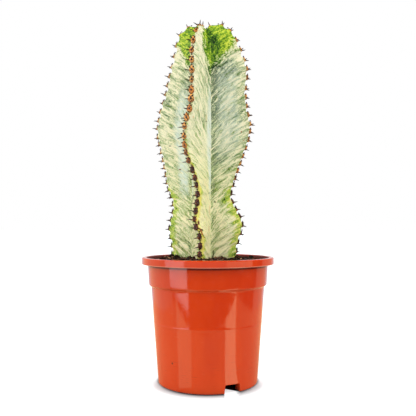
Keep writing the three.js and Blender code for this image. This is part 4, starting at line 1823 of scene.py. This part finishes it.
@dataclass
class Soil:
    """The potting mix: a lumpy bed with crumbs, bark, fibres, clods and a twig.

    Scattered bits are given by their count, the number that picks their draws, and how far they
    stay from the stem and from the wall.
    """

    stem: Stem
    sides: int = 400
    rings: int = 104
    at_wall: float = 150.9
    at_stem: float = 155.4
    slope: Pair = (48, 74)
    outer_radius: float = 75.5
    lump_count: int = 130
    lump_circle: float = 73.0
    grains: tuple = ((1.5, 3.1, 11), (0.9, 1.5, 12), (0.5, 0.8, 13))
    wall_line: tuple = ((60.9, 12.8), (62.4, 14.0), (71.0, 121.3), (74.0, 123.5), (75.5, 149.3))
    crumbs_scatter: tuple = (2300, 20011, 0.2, 1.0)
    bark_scatter: tuple = (260, 40009, 1.5, 5.0)
    fibre_scatter: tuple = (110, 60013, 2.0, 7.0)
    fibre_steps: int = 9
    fibre_sides: int = 4
    clods: tuple = ((-39.5, -13, 157.0, 4.3), (-22.5, -27, 157.6, 3.4), (-16.5, -30, 157.0, 3.0),
                    (17, -27, 157.6, 3.0), (37, -19, 157.8, 3.4), (-46, 8, 158.0, 3.6),
                    (33, 35, 157.2, 4.0), (-8, 58, 157.0, 3.6), (-56, -30, 155.6, 3.4),
                    (58, 24, 155.8, 3.0))
    twig_line: tuple = ((6.4, -25.5, 152.0), (6.2, -25.0, 158.0), (6.8, -24.6, 163.5), (6.5, -24.2, 167.4))
    twig_radius: Pair = (0.85, 0.4)

    def height(self, x: Array, y: Array) -> Array:
        """Height of the bed: a low mound, round lumps on a sunflower spiral, and fine crumbs.

        Args:
            x: places along the first axis.
            y: places along the second.

        Returns:
            The heights.
        """
        mound = between(self.at_stem, self.at_wall, smooth(np.hypot(x, y), *self.slope))
        number = np.arange(self.lump_count)
        away = self.lump_circle * np.sqrt((number + 0.5) / self.lump_count)
        turn = number * np.pi * (3 - np.sqrt(5))
        reach = between(4.0, 8.0, draw(3 * number + 5001))
        rise = between(0.8, 2.4, draw(3 * number + 5002))
        lumps = np.zeros_like(x)
        for a, b, c, d in zip(away * np.cos(turn), away * np.sin(turn), reach, rise):
            near = np.clip(1 - ((x - a) ** 2 + (y - b) ** 2) / c ** 2, 0, 1)
            lumps = np.maximum(lumps, d * np.sqrt(near))
        crumbs = sum(tall * (grain(x, y, cell, seed) - 0.5) for tall, cell, seed in self.grains)
        return mound + lumps + crumbs

    def bed(self) -> Surface:
        """The bed as a closed body: its bottom, the side against the pot's wall, and its top.

        Returns:
            The bed.
        """
        angle = turns(self.sides)
        radius = np.linspace(self.outer_radius, 0.5, self.rings)[:, None]
        x, y = radius * np.cos(angle), radius * np.sin(angle)
        top = np.stack([x, y, self.height(x, y)], -1)
        wall = np.stack([around(radius, angle, height) for radius, height in self.wall_line])
        return closed_rings(np.concatenate([wall, top]), np.array([0, 0, self.wall_line[0][1]]),
                            np.array([0, 0, float(top[-1, :, 2].mean())]))

    def scattered(self, count: int, seed: int, clear: float, margin: float) -> Array:
        """Places on the bed, drawn evenly over it.

        Args:
            count: how many to draw; those in the stem are left out.
            seed: picks the draws.
            clear: how far they stay from the stem.
            margin: how far they stay from the wall.

        Returns:
            The places.
        """
        number = np.arange(count) * 3 + seed
        angle = 2 * np.pi * draw(number)
        radius = (self.outer_radius - margin) * np.sqrt(draw(number + 1))
        x, y = radius * np.cos(angle), radius * np.sin(angle)
        reach = self.stem.reach(np.arctan2(y, x - STEM_X))
        keep = np.hypot(x - STEM_X, y) > reach + clear
        x, y = x[keep], y[keep]
        return np.stack([x, y, self.height(x, y)], -1)

    @staticmethod
    def tumbled(count: int, seed: int, tilt: float) -> Array:
        """Random axes for bits that lie on the bed.

        Args:
            count: how many.
            seed: picks the draws.
            tilt: the most that they lean, in radians.

        Returns:
            Axes as (bit, axis, xyz).
        """
        number = np.arange(count) * 5 + seed
        heading, roll = 2 * np.pi * draw(number), 2 * np.pi * draw(number + 1)
        lean = tilt * draw(number + 2)
        up = np.stack([np.sin(lean) * np.cos(roll), np.sin(lean) * np.sin(roll), np.cos(lean)], -1)
        ahead = around(1, heading, 0)
        side = unit(np.cross(up, ahead))
        return np.stack([np.cross(side, up), side, up], 1)

    def bits(self, places: Array, sizes: Array, seed: int, mesh: tuple[int, int], square: float,
             tilt: float) -> Surface:
        """Bits of the mix: balls stretched, squared off and dented at random.

        Args:
            places: where they lie.
            sizes: their half lengths, widths and thicknesses.
            seed: picks the draws.
            mesh: a ball's rings and the points in a ring.
            square: the power that squares them off.
            tilt: the most that they lean, in radians.

        Returns:
            The bits, with a tone for each.
        """
        rows, count = mesh[0], len(places)
        pebble = ball((np.arange(rows) + 0.7) / (rows + 0.4) * np.pi - np.pi / 2, mesh[1])
        points = np.sign(pebble.points) * np.abs(pebble.points) ** square
        number = np.arange(count * len(points)).reshape(count, len(points)) + seed
        dent = 1 + 0.45 * (draw(number) - 0.5)
        shape = Surface(points[None] * dent[..., None] * sizes[:, None], pebble.faces)
        surface = repeated(shape, places, self.tumbled(count, seed, tilt))
        surface.at_points = {"tone": np.repeat(draw(np.arange(count) * 11 + seed), len(points))}
        return surface

    def soil_crumbs(self) -> Surface:
        """Small crumbs of peat over the whole bed.

        Returns:
            The crumbs.
        """
        places = self.scattered(*self.crumbs_scatter) + (0, 0, 0.1)
        size = between(0.45, 1.5, draw(np.arange(len(places)) + 9001) ** 2)[:, None]
        return self.bits(places, size * (1.2, 1.0, 0.85), 313, (3, 6), 0.9, 1.2)

    def soil_clods(self) -> Surface:
        """A few larger clods that lie at places listed one by one."""
        clods = np.array(self.clods)
        return self.bits(clods[:, :3], clods[:, 3:] * (1.1, 0.95, 0.85), 911, (9, 16), 0.92, 1.0)

    def bark_chips(self) -> Surface:
        """Flat chips of bark and wood.

        Returns:
            The chips.
        """
        places = self.scattered(*self.bark_scatter) + (0, 0, 0.35)
        number = np.arange(len(places))
        length = between(1.6, 5.2, draw(number + 701) ** 1.6)
        sizes = np.stack([length, length * between(0.35, 0.7, draw(number + 1702)),
                          between(0.35, 0.8, draw(number + 2703))], -1)
        return self.bits(places, sizes, 517, (4, 8), 0.6, 0.7)

    def soil_fibres(self) -> Surface:
        """Thin roots and fibres: tubes on low arcs, a sine tall and bent aside by a square.

        Returns:
            The fibres.
        """
        places = self.scattered(*self.fibre_scatter)
        number = np.arange(len(places))
        length, arch, curl, radius, tone = (
            between(low, high, draw(number + 801 + i))[:, None] for i, (low, high) in enumerate(
                ((5, 15), (0.6, 2.2), (-0.35, 0.35), (0.12, 0.26), (0.3, 1.0))))
        t = np.linspace(0, 1, self.fibre_steps)
        line = np.stack([length * (t - 0.5), length * curl * (t - 0.5) ** 2 * 4,
                         arch * np.sin(np.pi * t) - 0.25], -1)
        angle = turns(self.fibre_sides)
        ring = np.stack([0 * angle, np.cos(angle), np.sin(angle)], -1)
        rings = line[:, :, None] + ring[None, None] * radius[..., None, None]
        template = ringed_copies(rings, line[:, 0], line[:, -1])
        surface = repeated(template, places, self.tumbled(len(places), 77, 0.15))
        surface.at_points = {"tone": np.repeat(tone[:, 0], template.points.shape[1])}
        return surface

    def twig(self) -> Surface:
        """The thin upright twig by the stem: a tapering tube with slight knots along a sine.

        Returns:
            The twig.
        """
        line, share = threaded(self.twig_line, 18)
        radius = between(*self.twig_radius, share) * (1 + 0.18 * np.sin(15 * share))
        rings = line[:, None] + around(1, turns(8), 0) * radius[:, None, None]
        surface = closed_rings(rings, line[0], line[-1])
        surface.at_points = {"tone": np.full(len(surface.points), 0.18)}
        return surface

    def build(self) -> None:
        """Makes the bed and what lies on it."""
        peat, bark = DampPeat().material(), BarkAndFibre().material()
        piece_of("soil_bed", mesh_of("soil_bed", self.bed()), peat, ("soil",))
        for make, finish in ((self.soil_crumbs, peat), (self.soil_clods, peat),
                             (self.bark_chips, bark), (self.soil_fibres, bark), (self.twig, bark)):
            name = make.__name__
            piece_of(name, mesh_of(name, make()), finish)


# ---- studio


@dataclass(frozen=True)
class Lamp:
    """A wide far light: its azimuth from the front, its elevation, its width and its power."""

    name: str
    turn: float
    lift: float
    width: float
    power: float


WHITE = (1.0, 1.0, 1.0, 1.0)
WARM = (1.0, 0.82, 0.55, 1.0)
SHEEN = (1.0, 0.85, 0.5, 1.0)
PALE = (1.0, 0.8, 0.58, 1.0)
SHEEN_HEIGHT = 0.4


@dataclass(frozen=True)
class Card:
    """A flat card that only the gloss shows: its corners in millimetres, brightness and tint."""

    name: str
    corners: tuple[Point, ...]
    light: float
    colour: Tint = WHITE


def upright_card(name: str, away: float, turns: Pair, heights: Pair,
                 light: float, colour: Tint = WHITE, fall: float = 0.0) -> Card:
    """An upright card that faces the pot.

    Args:
        name: its name.
        away: its distance from the pot's axis.
        turns: its sides' azimuths from the front, in degrees.
        heights: its lower and upper edge.
        light: its brightness.
        colour: its tint.
        fall: how much its lower edge falls from side to side.

    Returns:
        The card.
    """
    one, two = ((away * math.sin(turn), -away * math.cos(turn)) for turn in map(math.radians, turns))
    low, high = heights
    return Card(name, ((*one, low), (*two, low - fall), (*two, high), (*one, high)), light, colour)


def floor_card(name: str, sides: tuple[Pair, ...], light: float) -> Card:
    """A patch of light on the table, by its four corners seen from above."""
    return Card(name, tuple((x, y, SHEEN_HEIGHT) for x, y in sides), light, SHEEN)


@dataclass
class Studio:
    """The camera, the floor, the soft lights and the cards that the pot's gloss shows."""

    eye: Point = (0.2, -713.0, 198.6)
    tilt: float = 1.82
    focal_pixels: float = 548.5
    picture: float = 416.0
    sensor: float = 36.0
    table_height: float = 0.2
    world_light: float = 0.84
    gloss_light: float = 0.1
    table_corners: tuple = ((-432.0, -222.0), (432.0, -306.0), (432.0, 500.0), (-432.0, 500.0))
    floor_corners: tuple = ((-2e4, -2e4), (2e4, -2e4), (2e4, 2e4), (-2e4, 2e4))
    ground: PaleFloor = PaleFloor((0.52, 0.57, 0.58, 1.0), 0.62)
    table: PaleFloor = PaleFloor(tint(236, 190, 146))
    lamps: tuple[Lamp, ...] = (
        Lamp("left_key", -70, 30, 50, 1.4),
        Lamp("right_fill", 66, 32, 50, 1.4),
        Lamp("top_soft", 0, 70, 60, 0.6),
    )
    cards: tuple[Card, ...] = (
        upright_card("left_window", 900, (-73, -38), (-66, 900), 2.9, fall=90.0),
        upright_card("front_wall", 1500, (-40, 30), (-60, 500), 0.6),
        upright_card("left_front_wall", 1200, (-88, -73), (-420, 700), 1.15, PALE),
        upright_card("right_front_wall", 1200, (30, 78), (-20, 500), 1.8, WARM),
        upright_card("right_wall", 1200, (102, 140), (-700, 1200), 0.8, PALE),
        upright_card("left_wall", 1200, (-140, -88), (-420, 1200), 1.2, PALE),
        upright_card("back_wall", 1400, (135, 225), (-900, 1500), 0.9),
        floor_card("left_sheen", ((-30, -75), (-154, -249), (-432, -222), (-45, -57)), 1.8),
        floor_card("right_sheen", ((35, -77), (182, -281), (432, -306), (55, -57)), 3.2),
    )

    def sight(self, column: float, row: float) -> tuple[Vector, Vector]:
        """The line from the camera through a point of the picture.

        Args:
            column: the point's column.
            row: its row.

        Returns:
            The camera's place and the line's direction.
        """
        tilt = math.radians(self.tilt)
        right, down = column - self.picture / 2, row - self.picture / 2
        ahead = Vector((right, self.focal_pixels * math.cos(tilt) + down * math.sin(tilt),
                        self.focal_pixels * math.sin(tilt) - down * math.cos(tilt)))
        return Vector(self.eye), ahead.normalized()

    def camera(self) -> None:
        """Sets the camera that the photo was taken with: level but for a slight upward tilt."""
        data = bpy.data.cameras.new("camera")
        data.sensor_width = self.sensor
        data.lens = self.focal_pixels / self.picture * self.sensor
        data.clip_start, data.clip_end = 0.01, 60.0
        camera = linked("camera", data)
        camera.location = [axis * MM for axis in self.eye]
        camera.rotation_euler = (math.radians(90 + self.tilt), 0, 0)
        bpy.context.scene.camera = camera

    @staticmethod
    def sheet(name: str, corners: Array, finish: Material) -> bpy.types.Object:
        """A flat four-cornered sheet of the stage.

        Args:
            name: its name.
            corners: its corners.
            finish: its material.

        Returns:
            The sheet.
        """
        mesh = mesh_of(name, Surface(corners, [[0, 1, 2, 3]]))
        mesh.materials.append(finish)
        sheet = linked(name, mesh)
        return sheet

    @staticmethod
    def only_in_gloss(sheet: bpy.types.Object) -> None:
        """Lets only glossy reflections show a sheet."""
        sheet.visible_camera = sheet.visible_diffuse = sheet.visible_shadow = False
        sheet.visible_transmission = sheet.visible_volume_scatter = False

    def floor(self) -> None:
        """A wide pale floor, and the white table top that stands in for it in the gloss."""
        for name, sides, height, finish in (("floor", self.floor_corners, 0.0, self.ground),
                                            ("table", self.table_corners, self.table_height, self.table)):
            corners = np.array([(x, y, height) for x, y in sides])
            sheet = self.sheet(name, corners, finish.material())
            if name == "table":
                self.only_in_gloss(sheet)
            else:
                sheet.visible_glossy = False

    def card(self, card: Card) -> None:
        """Sets up one card.

        Args:
            card: the card.
        """
        material = bpy.data.materials.new(card.name)
        material.use_nodes = True
        tree = material.node_tree
        tree.nodes.clear()
        glow = tree.nodes.new("ShaderNodeEmission")
        glow.inputs["Strength"].default_value = card.light
        glow.inputs["Color"].default_value = card.colour
        output = tree.nodes.new("ShaderNodeOutputMaterial")
        tree.links.new(glow.outputs[0], output.inputs["Surface"])
        self.only_in_gloss(self.sheet(card.name, np.array(card.corners), material))

    def light(self, lamp: Lamp) -> None:
        """Hangs one soft light, aimed at the plant.

        Args:
            lamp: the light.
        """
        data = bpy.data.lights.new(lamp.name, "SUN")
        data.energy, data.angle = lamp.power, math.radians(lamp.width)
        light = linked(lamp.name, data)
        turn, lift = math.radians(lamp.turn), math.radians(lamp.lift)
        away = Vector((math.sin(turn) * math.cos(lift), -math.cos(turn) * math.cos(lift), math.sin(lift)))
        light.rotation_euler = (-away).to_track_quat("-Z", "Y").to_euler()
        light.visible_glossy = False

    def world(self) -> None:
        """White surroundings: plain white to the camera, a soft light on the plant, dim in gloss."""
        world = bpy.data.worlds.new("surroundings")
        world.use_nodes = True
        bpy.context.scene.world = world
        tree = world.node_tree
        tree.nodes.clear()
        path = tree.nodes.new("ShaderNodeLightPath")
        output = tree.nodes.new("ShaderNodeOutputWorld")
        below = None
        for ray, strength in ((None, self.world_light), ("Is Glossy Ray", self.gloss_light),
                              ("Is Camera Ray", 1.0)):
            glow = tree.nodes.new("ShaderNodeBackground")
            glow.inputs["Color"].default_value = (1, 1, 1, 1)
            glow.inputs["Strength"].default_value = strength
            if ray is None:
                below = glow.outputs[0]
                continue
            mix = tree.nodes.new("ShaderNodeMixShader")
            tree.links.new(path.outputs[ray], mix.inputs[0])
            tree.links.new(below, mix.inputs[1])
            tree.links.new(glow.outputs[0], mix.inputs[2])
            below = mix.outputs[0]
        tree.links.new(below, output.inputs["Surface"])

    def build(self) -> None:
        """Sets the camera, floor, lights, cards and surroundings."""
        bpy.context.scene.view_settings.view_transform = "Standard"
        self.camera()
        self.floor()
        for lamp in self.lamps:
            self.light(lamp)
        for card in self.cards:
            self.card(card)
        self.world()


def main() -> None:
    """Builds the studio and the plant's pieces in order."""
    logging.basicConfig(level=logging.INFO, format="%(message)s")
    studio = Studio()
    studio.build()
    Pot().build()
    stem = Stem()
    stem.build(studio)
    Armour(stem.crests).build()
    Soil(stem).build()


if __name__ == "__main__":
    main()
